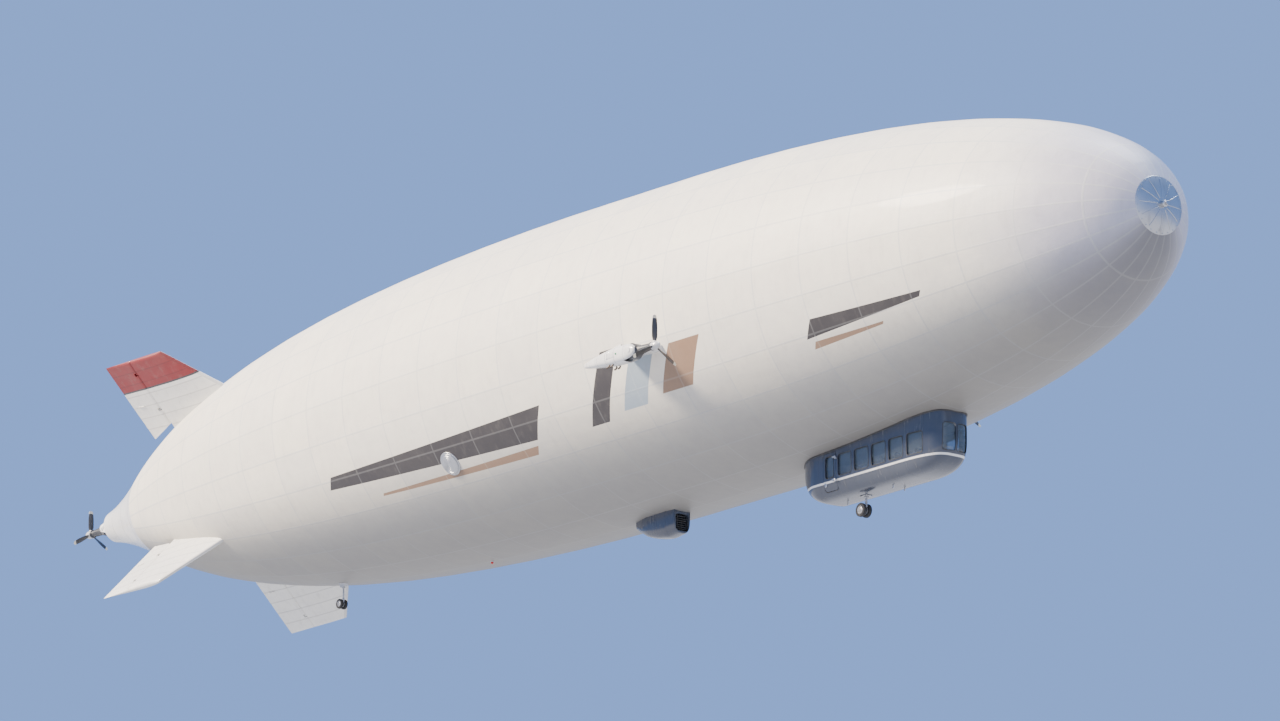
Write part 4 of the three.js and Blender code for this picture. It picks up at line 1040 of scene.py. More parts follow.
# Gondola shell: a moulded composite cabin, 30 mm thick, let into the hull along its roof.
# It is made of nose, tail, roof, belly and two side panels, which meet at sealed joints.
# It is painted slate, with a white line along its waist.
SHELL_WALL = 0.03
BOXINESS = 4
BOTTOM_STEPS = 16
LOFT_STEPS = 84
END_SHARES = (0.08, 0.2, 0.4, 0.65, 0.9)
JOINT_HALF = 0.0015
WINDOW_TOP = KEEL + 0.02
WINDOW_BOTTOM = KEEL - 0.45
WINDOW_CORNER = 0.06
WINDOW_LENGTH = 0.47
WINDOW_STARTS = (0.52, 1.11, 1.68, 2.25, 2.82)
PORT_REAR_WINDOW = 3.39
FRONT_PANE = {"inner": 0.02, "outer": 0.33, "top": KEEL + 0.15, "back": 0.46}
DOOR = {"start": 3.33, "end": 3.75, "top": KEEL + 0.1, "bottom": KEEL - 0.72, "gap": 0.006, "post": 0.07}
NOSE_PANEL_END = 1.05
TAIL_PANEL_START = 4.05


def roof_height(place, inset):
    """The height of the gondola's roof, just inside the hull's skin."""
    half = gondola_size(place)[0]
    return hull_underside(GONDOLA_NOSE - place, half) + ROOF_SINK - inset


def wall_width(place, height, inset=0.0):
    """The half width of the gondola at a height."""
    half, depth = [(size - inset) * end_taper(place, inset) for size in gondola_size(place)]
    down = min(max(0, KEEL - height) / depth, 1)
    return half * (1 - down**BOXINESS) ** (1 / BOXINESS)


def gondola_ring(place, inset):
    """A cross section of the gondola, from the roof's middle all the way round."""
    half, depth = [(size - inset) * end_taper(place, inset) for size in gondola_size(place)]
    x = GONDOLA_NOSE - place
    roof = roof_height(place, inset)
    side = [(half * share, roof) for share in (0, 0.35, 0.7, 0.93)]
    side += [(half, roof - 0.012), (half, roof - 0.05), (half, (roof + KEEL) / 2), (half, KEEL)]
    for i in range(1, BOTTOM_STEPS + 1):
        turn = math.pi / 2 * i / BOTTOM_STEPS
        down = depth * math.sin(turn) ** (2 / BOXINESS)
        side.append((half * math.cos(turn) ** (2 / BOXINESS), KEEL - down))
    side[-1] = (0, KEEL - depth)
    return [(x, y, z) for y, z in side] + [(x, -y, z) for y, z in reversed(side[1:-1])]


def gondola_loft(name, inset):
    """The gondola's closed form, drawn in all round by an inset."""
    first, last = inset, GONDOLA_LENGTH - inset
    places = [first + END_ROUND * share for share in END_SHARES]
    places += [last - END_ROUND * share for share in END_SHARES]
    for i in range(LOFT_STEPS + 1):
        share = i / LOFT_STEPS
        crowded = 0.5 - 0.5 * math.cos(math.pi * share)
        places.append(between(first, last, 0.55 * crowded + 0.45 * share))
    return lofted(name, [gondola_ring(place, inset) for place in sorted(places)])


def rounded_loop(a0, a1, b0, b1, corner, steps=6):
    """The points of a rectangle with round corners."""
    corners = [(a1 - corner, b1 - corner, 0), (a0 + corner, b1 - corner, 1)]
    corners += [(a0 + corner, b0 + corner, 2), (a1 - corner, b0 + corner, 3)]
    points = []
    for a, b, quarter in corners:
        for i in range(steps + 1):
            turn = math.pi / 2 * (quarter + i / steps)
            points.append((a + corner * math.cos(turn), b + corner * math.sin(turn)))
    return points


def side_prism(side, start, end, top, bottom, corner, inner=0.38, outer=0.7):
    """A cutter with round corners that passes through one side wall."""
    loop = rounded_loop(GONDOLA_NOSE - end, GONDOLA_NOSE - start, bottom, top, corner)
    return lofted("cutter", [[(x, side * y, z) for x, z in loop] for y in (inner, outer)])


shell = gondola_loft("gondola_shell", 0.0)
inner_form = gondola_loft("inner form", SHELL_WALL)
cut_away(shell, inner_form)
door_panel = own_copy(shell, "door_panel")

window_frames = []
for start in WINDOW_STARTS:
    end = start + WINDOW_LENGTH
    window_frames.append((1, start, end))
    window_frames.append((-1, start, min(end, DOOR["start"] - DOOR["post"])))
window_frames.append((1, PORT_REAR_WINDOW, PORT_REAR_WINDOW + WINDOW_LENGTH))
openings = [side_prism(*place, WINDOW_TOP, WINDOW_BOTTOM, WINDOW_CORNER) for place in window_frames]
openings.append(side_prism(-1, DOOR["start"], DOOR["end"], DOOR["top"], DOOR["bottom"], WINDOW_CORNER))
for side in (1, -1):
    low, high = sorted((side * FRONT_PANE["inner"], side * FRONT_PANE["outer"]))
    loop = rounded_loop(low, high, WINDOW_BOTTOM, FRONT_PANE["top"], WINDOW_CORNER)
    ends = (GONDOLA_NOSE + 0.06, GONDOLA_NOSE - FRONT_PANE["back"])
    openings.append(lofted("cutter", [[(x, y, z) for y, z in loop] for x in ends]))
cut_away(shell, joined("openings", openings))

# Cabin lining: pale grey padded panels glued inside the shell, on the faces that look into the cabin.
# The shell is parted here into its six panels, each painted outside and lined inside.
LINING_GREY = (0.5, 0.5, 0.49)
lining, *_ = finish("cabin lining", LINING_GREY, (0.22, 0.2, 0.18), 0.3, 22, 0.75, bump=0.002)
WINDOW_PITCH = 0.57
MIDDLE_POST = 7.61
CABIN_SLATE = (0.045, 0.055, 0.08)
WAIST_LINE = (WINDOW_BOTTOM - 0.1, WINDOW_BOTTOM - 0.055)
LINING_MARGIN = 0.004
LOOKED_FROM = KEEL - 0.25
panel_paint = panel_finish(
    "gondola composite",
    spacing=WINDOW_PITCH,
    axis=1,
    amount=0.22,
    half_width=0.002,
    start=MIDDLE_POST,
    paint=CABIN_SLATE,
    waist=WAIST_LINE,
)


def lined(piece):
    """Gives a shell panel its paint outside and its lining inside."""
    painted(piece, panel_paint, lining)
    for face in piece.data.polygons:
        x, y, z = face.center
        place = min(max(GONDOLA_NOSE - x, SHELL_WALL), GONDOLA_LENGTH - SHELL_WALL)
        between_walls = abs(y) < wall_width(place, z, SHELL_WALL) + LINING_MARGIN
        under_roof = z < roof_height(place, SHELL_WALL) + LINING_MARGIN
        above_belly = z > KEEL - (gondola_size(place)[1] - SHELL_WALL) - LINING_MARGIN
        inward = face.normal.dot(Vector((0, y, z - LOOKED_FROM))) < 0
        face.material_index = 1 if between_walls and under_roof and above_belly and inward else 0


SIDE_LIMIT = 0.8
ROOF_LEVEL = KEEL + 0.12
ROOF_HALF = 0.53
BELLY_LEVEL = KEEL - 0.6
BELLY_HALF = 0.4
BEYOND_ENDS = (4.5, 10.0)
nose_end = GONDOLA_NOSE - NOSE_PANEL_END
tail_start = GONDOLA_NOSE - TAIL_PANEL_START
tall = (KEEL - 1.2, KEEL + 1.0)
zones = {
    "gondola_nose": ((nose_end + JOINT_HALF, -SIDE_LIMIT, tall[0]), (BEYOND_ENDS[1], SIDE_LIMIT, tall[1])),
    "gondola_tail": ((BEYOND_ENDS[0], -SIDE_LIMIT, tall[0]), (tail_start - JOINT_HALF, SIDE_LIMIT, tall[1])),
    "gondola_roof": ((tail_start, -ROOF_HALF, ROOF_LEVEL), (nose_end, ROOF_HALF, tall[1])),
    "gondola_belly": ((tail_start, -BELLY_HALF, tall[0]), (nose_end, BELLY_HALF, BELLY_LEVEL)),
}
shell_panels = {}
for name, (low, high) in zones.items():
    panel = own_copy(shell, name + "_panel")
    shell_panels[name] = cut_away(panel, blocky(low, high, 0), "INTERSECT")
for name, y0, y1 in (("gondola_side_port", 0.0, SIDE_LIMIT), ("gondola_side_starboard", -SIDE_LIMIT, 0.0)):
    panel = own_copy(shell, name + "_panel")
    cut_away(panel, blocky((tail_start, y0, tall[0]), (nose_end, y1, tall[1]), 0), "INTERSECT")
    for half, low, high in (
        (ROOF_HALF + JOINT_HALF, ROOF_LEVEL - JOINT_HALF, tall[1]),
        (BELLY_HALF + JOINT_HALF, tall[0], BELLY_LEVEL + JOINT_HALF),
    ):
        cut_away(panel, blocky((tail_start - 0.1, -half, low), (nose_end + 0.1, half, high), 0))
    shell_panels[name] = panel
bpy.data.objects.remove(shell)
for name, panel in shell_panels.items():
    smoothed(panel, 32)
    lined(panel)
    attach(panel, "root")
    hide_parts(name)

# Window seals: black rubber sections pressed round every window of the shell, on its outside.
# Each is one closed length that follows the curve of the wall or of the nose.
SEAL = 0.009
NOSE_SEAL = 0.0072
NOSE_SEAL_STEP = 0.02


def on_wall(side, place, height):
    """A point on the gondola's side."""
    return GONDOLA_NOSE - place, side * wall_width(place, height), height


def on_nose(y, z):
    """A point on the gondola's front, at a place across and a height."""
    low, high = 0.0, 0.6
    for _ in range(24):
        middle = (low + high) / 2
        if wall_width(middle, z) > abs(y):
            high = middle
        else:
            low = middle
    return GONDOLA_NOSE - high, y, z


seals = []
for side, start, end in window_frames:
    loop = rounded_loop(start, end, WINDOW_BOTTOM, WINDOW_TOP, WINDOW_CORNER)
    seals.append(tube("seal", [on_wall(side, place, z) for place, z in loop], SEAL, 2, closed=True))
for side in (1, -1):
    low, high = sorted((side * FRONT_PANE["inner"], side * FRONT_PANE["outer"]))
    loop = rounded_loop(low, high, WINDOW_BOTTOM, FRONT_PANE["top"], WINDOW_CORNER, 10)
    fine_loop = []
    for (y0, z0), (y1, z1) in zip(loop, loop[1:] + loop[:1]):
        pieces = max(1, round(math.hypot(y1 - y0, z1 - z0) / NOSE_SEAL_STEP))
        fine_loop += [(between(y0, y1, i / pieces), between(z0, z1, i / pieces)) for i in range(pieces)]
    seals.append(tube("seal", [on_nose(y, z) for y, z in fine_loop], NOSE_SEAL, 2, closed=True))
window_seals = joined("window_seals", seals)
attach(window_seals, "root")
painted(window_seals, rubber)

# Glazing: bands of tinted acrylic, 8 mm thick, bonded inside the shell behind the openings.
# The windscreen wraps the nose in one piece, and one long pane runs down each side.
GLASS_GAP = 0.0005
GLASS = 0.008
GLASS_LAP = 0.025
GLASS_BOTTOM = WINDOW_BOTTOM - GLASS_LAP
GLASS_INSET = SHELL_WALL + GLASS_GAP
GLASS_TINT = (0.5, 0.58, 0.64)
DUST = (0.45, 0.46, 0.46)
SETTLED_DUST = 0.12
GLASS_SPANS = {
    "side_glazing_port": (1, 1.054, 3.885, WINDOW_TOP + GLASS_LAP),
    "side_glazing_starboard": (-1, 1.054, 3.305, WINDOW_TOP + GLASS_LAP),
}
glass = bpy.data.materials.new("tinted acrylic")
glass.use_nodes = True
tree = glass.node_tree
shader = tree.nodes["Principled BSDF"]
shader.inputs["Metallic"].default_value = 0.0
shader.inputs["Transmission Weight"].default_value = 0.9
shader.inputs["IOR"].default_value = 1.49
place, x, y, z = object_axes(tree)
dust = step(tree, noise(tree, place, 14.0, 4.0), 0.5, 0.8)
settled = times(tree, step(tree, z, WINDOW_BOTTOM + SETTLED_DUST, WINDOW_BOTTOM), 0.5)
dust_mask = plus(tree, times(tree, dust, 0.3), settled)
tree.links.new(blended(tree, dust_mask, GLASS_TINT, DUST), shader.inputs["Base Color"])
tree.links.new(plus(tree, times(tree, dust_mask, 0.3), 0.04), shader.inputs["Roughness"])


def glass_pane(name, side, start, end, top, bottom, inset):
    """A curved pane that follows the inside of a side wall."""
    steps = max(4, round((end - start) / 0.08))
    sections = []
    for i in range(steps + 1):
        at = between(start, end, i / steps)
        levels = [between(bottom, top, k / 8) for k in range(9)]
        outer = [(GONDOLA_NOSE - at, side * wall_width(at, z, inset), z) for z in levels]
        inner = [(GONDOLA_NOSE - at, side * wall_width(at, z, inset + GLASS), z) for z in reversed(levels)]
        sections.append(outer + inner)
    return smoothed(lofted(name, sections), 40)


for name, (side, start, end, top) in GLASS_SPANS.items():
    pane = glass_pane(name + "_pane", side, start, end, top, GLASS_BOTTOM, GLASS_INSET)
    painted(pane, glass)
    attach(pane, "root")
    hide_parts(name)

WINDSCREEN_TOP = KEEL + 0.175


def nose_path(z, inset):
    """The gondola's outline at a height, from its port side round the nose to starboard, evenly spaced."""
    places = [inset + (NOSE_PANEL_END - inset) * (i / 120) ** 1.8 for i in range(121)]
    side = [(GONDOLA_NOSE - place, wall_width(place, z, inset)) for place in places]
    side = [(x, y) for x, y in side if y > 0.004]
    half_line = [(side[0][0], 0.0), *side]
    whole = [(x, y) for x, y in reversed(half_line)] + [(x, -y) for x, y in half_line[1:]]
    lengths = [0.0]
    for (x0, y0), (x1, y1) in zip(whole, whole[1:]):
        lengths.append(lengths[-1] + math.hypot(x1 - x0, y1 - y0))
    points = []
    count = 72
    k = 0
    for i in range(count + 1):
        wanted = lengths[-1] * i / count
        while k < len(whole) - 2 and lengths[k + 1] < wanted:
            k += 1
        share = (wanted - lengths[k]) / max(lengths[k + 1] - lengths[k], 1e-9)
        (x0, y0), (x1, y1) = whole[k], whole[k + 1]
        points.append((between(x0, x1, share), between(y0, y1, share), z))
    return points


screen_levels = [between(GLASS_BOTTOM, WINDSCREEN_TOP, k / 10) for k in range(11)]
outer_paths = [nose_path(z, GLASS_INSET) for z in screen_levels]
inner_paths = [nose_path(z, GLASS_INSET + GLASS) for z in screen_levels]
sections = []
for i in range(len(outer_paths[0])):
    sections.append([path[i] for path in outer_paths] + [path[i] for path in reversed(inner_paths)])
windscreen = smoothed(lofted("windscreen_pane", sections), 40)
painted(windscreen, glass)
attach(windscreen, "root")
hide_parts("windscreen")

# Passenger door: a moulded panel cut from the starboard side, with its own pane, on two outside hinges.
# It has a latch plate with a small grip near its rear edge, and a rubber seal round its frame.
DOOR_HINGE = (6.492, -0.604)
DOOR_SKIN = -0.545
HINGE_LEVELS = (KEEL - 0.02, KEEL - 0.52)
HINGE_STRAP_END = GONDOLA_NOSE - 3.41
LATCH = (GONDOLA_NOSE - 3.69, KEEL - 0.56)
GRIP_OUTWARD = 0.014
GRIP_HALF = 0.035
FRAME_SEAL = 0.005
FRAME_SEAL_GAP = 0.006
door_shape = side_prism(
    -1,
    DOOR["start"] + DOOR["gap"],
    DOOR["end"] - DOOR["gap"],
    DOOR["top"] - DOOR["gap"],
    DOOR["bottom"] + DOOR["gap"],
    WINDOW_CORNER - DOOR["gap"],
)
cut_away(door_panel, door_shape, "INTERSECT")
pane_edges = (DOOR["start"] + DOOR["post"], DOOR["end"] - DOOR["post"])
cut_away(door_panel, side_prism(-1, *pane_edges, WINDOW_TOP, WINDOW_BOTTOM, WINDOW_CORNER))
smoothed(door_panel, 32)
lined(door_panel)
hinge_x, hinge_y = DOOR_HINGE
straps = []
brackets = []
for level in HINGE_LEVELS:
    low, high = level - 0.015, level + 0.015
    straps.append(blocky((HINGE_STRAP_END, hinge_y - 0.012, low), (hinge_x, hinge_y + 0.012, high), 0.004))
    straps.append(blocky((HINGE_STRAP_END, hinge_y, low), (HINGE_STRAP_END + 0.05, DOOR_SKIN, high), 0.003))
    straps.append(bar((hinge_x, hinge_y, low), (hinge_x, hinge_y, high), 0.014, 20))
    straps.append(bar((hinge_x, hinge_y, level - 0.05), (hinge_x, hinge_y, level + 0.018), 0.009, 16, 0.001))
    wall = wall_width(GONDOLA_NOSE - hinge_x, level) - 0.01
    brackets.append(bar((hinge_x, hinge_y, level - 0.05), (hinge_x, hinge_y, level - 0.02), 0.021, 24))
    bracket_low = (hinge_x, hinge_y - 0.011, level - 0.05)
    brackets.append(blocky(bracket_low, (hinge_x + 0.045, -wall, level - 0.02), 0.003))
pane_loop = rounded_loop(*pane_edges, WINDOW_BOTTOM, WINDOW_TOP, WINDOW_CORNER)
door_seal = tube("seal", [on_wall(-1, place, z) for place, z in pane_loop], SEAL, 2, closed=True)
latch_x, latch_z = LATCH
latch_y = -wall_width(GONDOLA_NOSE - latch_x, latch_z)
latch_plate = blocky(
    (latch_x - 0.035, latch_y - 0.004, latch_z - 0.055),
    (latch_x + 0.03, latch_y + 0.006, latch_z + 0.055),
    0.008,
)
grip_x, grip_y = latch_x - 0.02, latch_y - GRIP_OUTWARD
latch_grip = bar((grip_x, grip_y, latch_z - GRIP_HALF), (grip_x, grip_y, latch_z + GRIP_HALF), 0.006, 12)
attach(door_panel, "passenger_door")
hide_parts("passenger_door")
door_metal = joined("door_hinges_and_latch", [*straps, latch_plate, latch_grip])
hinge_brackets = joined("door_hinge_brackets", brackets)
for piece, body in ((door_metal, "passenger_door"), (hinge_brackets, "root")):
    smoothed(piece)
    painted(piece, brushed)
    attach(piece, body)
door_seal.name = "door_window_seal"
painted(door_seal, rubber)
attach(door_seal, "passenger_door")
door_pane = glass_pane(
    "door_pane",
    -1,
    pane_edges[0] - GLASS_LAP,
    pane_edges[1] + GLASS_LAP,
    WINDOW_TOP + GLASS_LAP,
    GLASS_BOTTOM,
    GLASS_INSET,
)
painted(door_pane, glass)
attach(door_pane, "passenger_door")
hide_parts("passenger_door_glass")
frame_loop = rounded_loop(
    DOOR["start"] - FRAME_SEAL_GAP,
    DOOR["end"] + FRAME_SEAL_GAP,
    DOOR["bottom"] - FRAME_SEAL_GAP,
    DOOR["top"] + FRAME_SEAL_GAP,
    WINDOW_CORNER + FRAME_SEAL_GAP,
)
frame_line = [on_wall(-1, place, z) for place, z in frame_loop]
frame_seal = tube("door_frame_seal", frame_line, FRAME_SEAL, 2, closed=True)
painted(frame_seal, rubber)
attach(frame_seal, "root")

# Cabin floor: a honeycomb board under hard-wearing grey carpet.
# A paler strip is sewn in along the aisle, and the loops of the pile stand up a little.
FLOOR_TOP = KEEL - 0.725
CARPET_GREY = (0.075, 0.08, 0.09)
AISLE_GREY = (0.12, 0.12, 0.125)
AISLE_HALF = 0.115
carpet, tree, wear, relief = finish(
    "cabin carpet", CARPET_GREY, (0.17, 0.15, 0.12), amount=0.5, grain=60, roughness=0.92, bump=0.003
)
place, x, y, z = object_axes(tree)
loops = add(tree, "TexVoronoi", {"Vector": place, "Scale": 190.0}).outputs["Distance"]
aisle = calc(tree, "LESS_THAN", calc(tree, "ABSOLUTE", y), AISLE_HALF)
tree.links.new(blended(tree, aisle, CARPET_GREY, AISLE_GREY), wear.inputs["Paint"])
tree.links.new(plus(tree, wear.outputs["Height"], loops), relief.inputs["Height"])
painted(nodes["gondola_floor"], carpet)

# Seats: moulded frames on pedestals, with foam squabs and backs under dark blue woven cloth.
# Each pad is swollen by cloth simulation, then pulled in along its sewn channels.
SEAT_FLOOR = FLOOR_TOP + 0.0003
SQUAB_TOP = SEAT_FLOOR + 0.19
SQUAB_THICKNESS = 0.065
SEAT_HALF_WIDTH = 0.115
SQUAB_HALF_LENGTH = 0.12
BACK_FRONT, BACK_REAR = 0.09, 0.145
BACK_TOP = SQUAB_TOP + 0.33
PAN = 0.012
SEATS = {
    # node: places and side of its seats
    "pilot_seat_port": ((0.9,), 0.165),
    "pilot_seat_starboard": ((0.9,), -0.165),
    "passenger_seats_port": ((1.5, 1.95, 2.4, 2.85, 3.3), 0.25),
    "passenger_seats_starboard": ((1.5, 1.95, 2.4, 2.85), -0.25),
}
PAD_VOXEL = 0.006
PAD_SWELL_LIMIT = 0.012
PAD_PRESSURE = 4
PAD_FRAMES = 20
CHANNEL_WIDTH = 0.007
CHANNEL_PLACES = (-0.055, 0.055)
WEAVE_DARK = (0.035, 0.06, 0.12)
WEAVE_LIGHT = (0.07, 0.11, 0.2)


def swollen(name, low, high, corner):
    """A foam pad that fills a block, swollen by cloth simulation with its corners drawn in."""
    pad = blocky(low, high, 0)
    pad.name = name
    modified(pad, "BEVEL", width=corner, segments=4, limit_method="ANGLE")
    modified(pad, "REMESH", mode="VOXEL", voxel_size=PAD_VOXEL)
    bpy.context.scene.frame_set(1)
    before = [vertex.co.copy() for vertex in pad.data.vertices]
    alone(pad)
    bpy.ops.object.modifier_add(type="CLOTH")
    cloth = pad.modifiers[-1]
    cloth.settings.use_pressure = True
    cloth.settings.uniform_pressure_force = PAD_PRESSURE
    cloth.settings.effector_weights.gravity = 0
    cloth.settings.quality = 4
    cloth.collision_settings.use_collision = False
    for frame_number in range(1, PAD_FRAMES + 1):
        bpy.context.scene.frame_set(frame_number)
    bpy.ops.object.modifier_apply(modifier=cloth.name)
    bpy.context.scene.frame_set(1)
    for vertex, start in zip(pad.data.vertices, before):
        moved = vertex.co - start
        if moved.length > PAD_SWELL_LIMIT:
            vertex.co = start + moved.normalized() * PAD_SWELL_LIMIT
    return smoothed(pad, 180)


def channelled(pad, axis, levels, face_axis, depth):
    """Pulls a pad in along sewn channels, at levels along an axis, on its upper or front face."""
    for vertex in pad.data.vertices:
        for level in levels:
            near = math.exp(-(((vertex.co[axis] - level) / CHANNEL_WIDTH) ** 2))
            vertex.co[face_axis] -= depth * near
    return pad


squab = swollen(
    "squab",
    (-SQUAB_HALF_LENGTH + 0.012, -SEAT_HALF_WIDTH + 0.01, SQUAB_TOP - SQUAB_THICKNESS + 0.016),
    (SQUAB_HALF_LENGTH - 0.008, SEAT_HALF_WIDTH - 0.01, SQUAB_TOP - 0.008),
    0.014,
)
channelled(squab, 1, CHANNEL_PLACES, 2, 0.006)
channelled(squab, 0, (0.04,), 2, 0.004)
seat_back = swollen(
    "seat back",
    (-BACK_REAR + 0.014, -SEAT_HALF_WIDTH + 0.01, SQUAB_TOP + 0.012),
    (-BACK_FRONT - 0.006, SEAT_HALF_WIDTH - 0.01, BACK_TOP - 0.01),
    0.012,
)
channelled(seat_back, 1, CHANNEL_PLACES, 0, 0.005)
channelled(seat_back, 2, (BACK_TOP - 0.1,), 0, 0.005)

seat_cloth, tree, wear, relief = finish(
    "seat cloth", (0.05, 0.085, 0.17), (0.2, 0.19, 0.18), amount=0.22, grain=45, roughness=0.88, bump=0.0015
)
place, x, y, z = object_axes(tree)
weave = []
for direction in ("X", "Y", "Z"):
    lines = {"wave_type": "BANDS", "bands_direction": direction}
    weave.append(add(tree, "TexWave", {"Vector": place, "Scale": 90.0}, **lines).outputs["Fac"])
woven = calc(tree, "MAXIMUM", calc(tree, "MAXIMUM", weave[0], weave[1]), weave[2])
tree.links.new(blended(tree, woven, WEAVE_DARK, WEAVE_LIGHT), wear.inputs["Paint"])
tree.links.new(plus(tree, wear.outputs["Height"], woven), relief.inputs["Height"])
for pad in (squab, seat_back):
    painted(pad, seat_cloth)

seat_shell, *_ = finish("seat shell", (0.16, 0.165, 0.17), (0.3, 0.28, 0.25), 0.25, 30, 0.45, bump=0.001)


def seat_frame(place, side):
    """The hard parts of one seat: pedestal, pan, back shell and two tubes under the pan."""
    x = GONDOLA_NOSE - place
    pan_low = SQUAB_TOP - SQUAB_THICKNESS
    back = x - BACK_REAR
    parts = [
        blocky((x - 0.055, side - 0.055, SEAT_FLOOR), (x + 0.055, side + 0.055, SEAT_FLOOR + 0.012), 0.004),
        bar((x, side, SEAT_FLOOR + 0.012), (x, side, pan_low), 0.03, 24, 0),
        bar((x, side, SEAT_FLOOR + 0.012), (x, side, SEAT_FLOOR + 0.045), 0.042, 24, 0.006),
        blocky((x - 0.11, side - 0.105, pan_low), (x + 0.105, side + 0.105, pan_low + PAN), 0.005),
        blocky((back, side - 0.108, pan_low), (back + PAN, side + 0.108, BACK_TOP - 0.012), 0.005),
    ]
    for y in (side - 0.06, side + 0.06):
        parts.append(bar((x - 0.1, y, pan_low - 0.006), (x + 0.095, y, pan_low - 0.006), 0.006, 12, 0))
    return parts


def placed_copy(piece, name, offset):
    """A copy of a piece, moved to its place."""
    copy = own_copy(piece, name)
    copy.data.transform(Matrix.Translation(offset))
    return copy


for node_name, (places, side) in SEATS.items():
    hard_parts = []
    if len(places) > 1:
        for offset in (-0.038, 0.038):
            low = (GONDOLA_NOSE - places[-1] - 0.1, side + offset - 0.009, SEAT_FLOOR)
            high = (GONDOLA_NOSE - places[0] + 0.1, side + offset + 0.009, SEAT_FLOOR + 0.013)
            hard_parts.append(blocky(low, high, 0.003))
    for number, place in enumerate(places, 1):
        hard_parts += seat_frame(place, side)
        for pad, kind in ((squab, "squab"), (seat_back, "back")):
            cushion = placed_copy(pad, f"{node_name}_{kind}_{number}", (GONDOLA_NOSE - place, side, 0))
            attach(cushion, "root")
    frames = joined(node_name + "_frames", hard_parts)
    smoothed(frames)
    painted(frames, seat_shell)
    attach(frames, "root")
    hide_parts(node_name)
bpy.data.objects.remove(squab)
bpy.data.objects.remove(seat_back)

# Instrument panel: a hooded black console across the nose, with four blank screens over a row of knobs.
# A centre column runs down to the floor and back, with three small levers on its top.
PANEL_X = (GONDOLA_NOSE - 0.54, GONDOLA_NOSE - 0.44)
PANEL_Z = (KEEL - 0.59, KEEL - 0.44)
PANEL_HALF = 0.32
COLUMN_HALF = 0.055
SCREENS = ((-0.235, 0.062), (-0.09, 0.046), (0.09, 0.046), (0.235, 0.062))
BEZEL = 0.007
KNOBS = 9
KNOB_PITCH = 0.07
KNOB_LEVEL = PANEL_Z[0] + 0.012
LEVER_X = GONDOLA_NOSE - 0.64
LEVER_LEAN = 0.012
LEVER_FOOT = KEEL - 0.565
LEVER_TOP = KEEL - 0.515
rear, front = PANEL_X
low, high = PANEL_Z
console_parts = [
    blocky((rear + 0.012, -PANEL_HALF, low), (front, PANEL_HALF, high - 0.012), 0.012),
    blocky((rear, -PANEL_HALF + 0.004, high - 0.02), (front - 0.01, PANEL_HALF - 0.004, high), 0.008),
    blocky((rear - 0.05, -COLUMN_HALF, KEEL - 0.69), (front - 0.03, COLUMN_HALF, KEEL - 0.56), 0.008),
    blocky((rear - 0.14, -COLUMN_HALF, SEAT_FLOOR), (rear - 0.03, COLUMN_HALF, KEEL - 0.562), 0.01),
]
screen_parts = []
for y, half in SCREENS:
    bezel_low = (rear + 0.006, y - half - BEZEL, low + 0.022)
    bezel_high = (rear + 0.014, y + half + BEZEL, high - 0.028)
    console_parts.append(blocky(bezel_low, bezel_high, 0.003))
    screen_low = (rear + 0.004, y - half, low + 0.03)
    screen_parts.append(blocky(screen_low, (rear + 0.01, y + half, high - 0.036), 0.002))
for k in range(KNOBS):
    y = -0.28 + KNOB_PITCH * k
    console_parts.append(bar((rear + 0.002, y, KNOB_LEVEL), (rear + 0.016, y, KNOB_LEVEL), 0.006, 12, 0.001))
for y in (-0.03, 0.0, 0.03):
    x = LEVER_X - LEVER_LEAN
    console_parts.append(bar((LEVER_X, y, LEVER_FOOT), (x, y, LEVER_TOP), 0.004, 10, 0))
    console_parts.append(bar((x, y - 0.008, LEVER_TOP), (x, y + 0.008, LEVER_TOP), 0.008, 12))
console = joined("console_body", console_parts)
smoothed(console)
CONSOLE_BLACK = (0.035, 0.036, 0.038)
console_black, *_ = finish("console black", CONSOLE_BLACK, (0.16, 0.15, 0.13), 0.25, 50, 0.55, bump=0.001)
painted(console, console_black)
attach(console, "root")
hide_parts("instrument_panel")
screens = joined("console_screens", screen_parts)
smoothed(screens)
screen_glass, *_ = finish(
    "screen glass",
    (0.012, 0.018, 0.026),
    (0.08, 0.08, 0.08),
    amount=0.2,
    grain=80,
    roughness=0.08,
    coat=0.5,
    bump=0.0002,
)
painted(screens, screen_glass)
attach(screens, "root")

# Landing gear: a steel leg under the gondola and one under the stern, each bolted to a foot.
# A castoring fork turns below each leg, with twin wheels on one axle behind it.
AXLE = 0.016
GEAR_HUB = 0.034
TAIL_GEAR_X = -11.3
TAIL_FOOT = -hull_at(TAIL_GEAR_X) - 0.06
MAIN_FOOT = -4.41635
FOOT_PLATE = 0.016
GEARS = {
    # name: x, foot's underside, strut's lower end, strut radius, wheel radius and width, gap, trail
    "main": (6.8, MAIN_FOOT, MAIN_FOOT - 0.13, 0.026, 0.15, 0.08, 0.036, 0.08),
    "tail": (TAIL_GEAR_X, TAIL_FOOT - FOOT_PLATE, TAIL_FOOT - 0.276, 0.02, 0.11, 0.06, 0.03, 0.06),
}
COLLAR = 1.18
FAIRING_STEPS = (0.0, 0.15, 0.35, 0.6, 0.85, 1.0)
FAIRING_LENGTHS = (0.09, 0.24)
FAIRING_WIDTHS = (0.05, 0.11)
FAIRING_RISE = 0.2
ARM_STEPS = (0.0, 0.12, 0.35, 0.6, 0.85, 1.0)
WHEEL_BOLTS = 6
gear_paint, *_ = finish(
    "gear enamel",
    (0.5, 0.51, 0.53),
    (0.12, 0.11, 0.1),
    amount=0.5,
    grain=35,
    roughness=0.35,
    metallic=0.55,
    bump=0.001,
)
tyre_rubber, *_ = finish(
    "tyre rubber",
    (0.03, 0.03, 0.031),
    (0.14, 0.13, 0.12),
    amount=0.35,
    grain=60,
    roughness=0.85,
    bump=0.001,
)


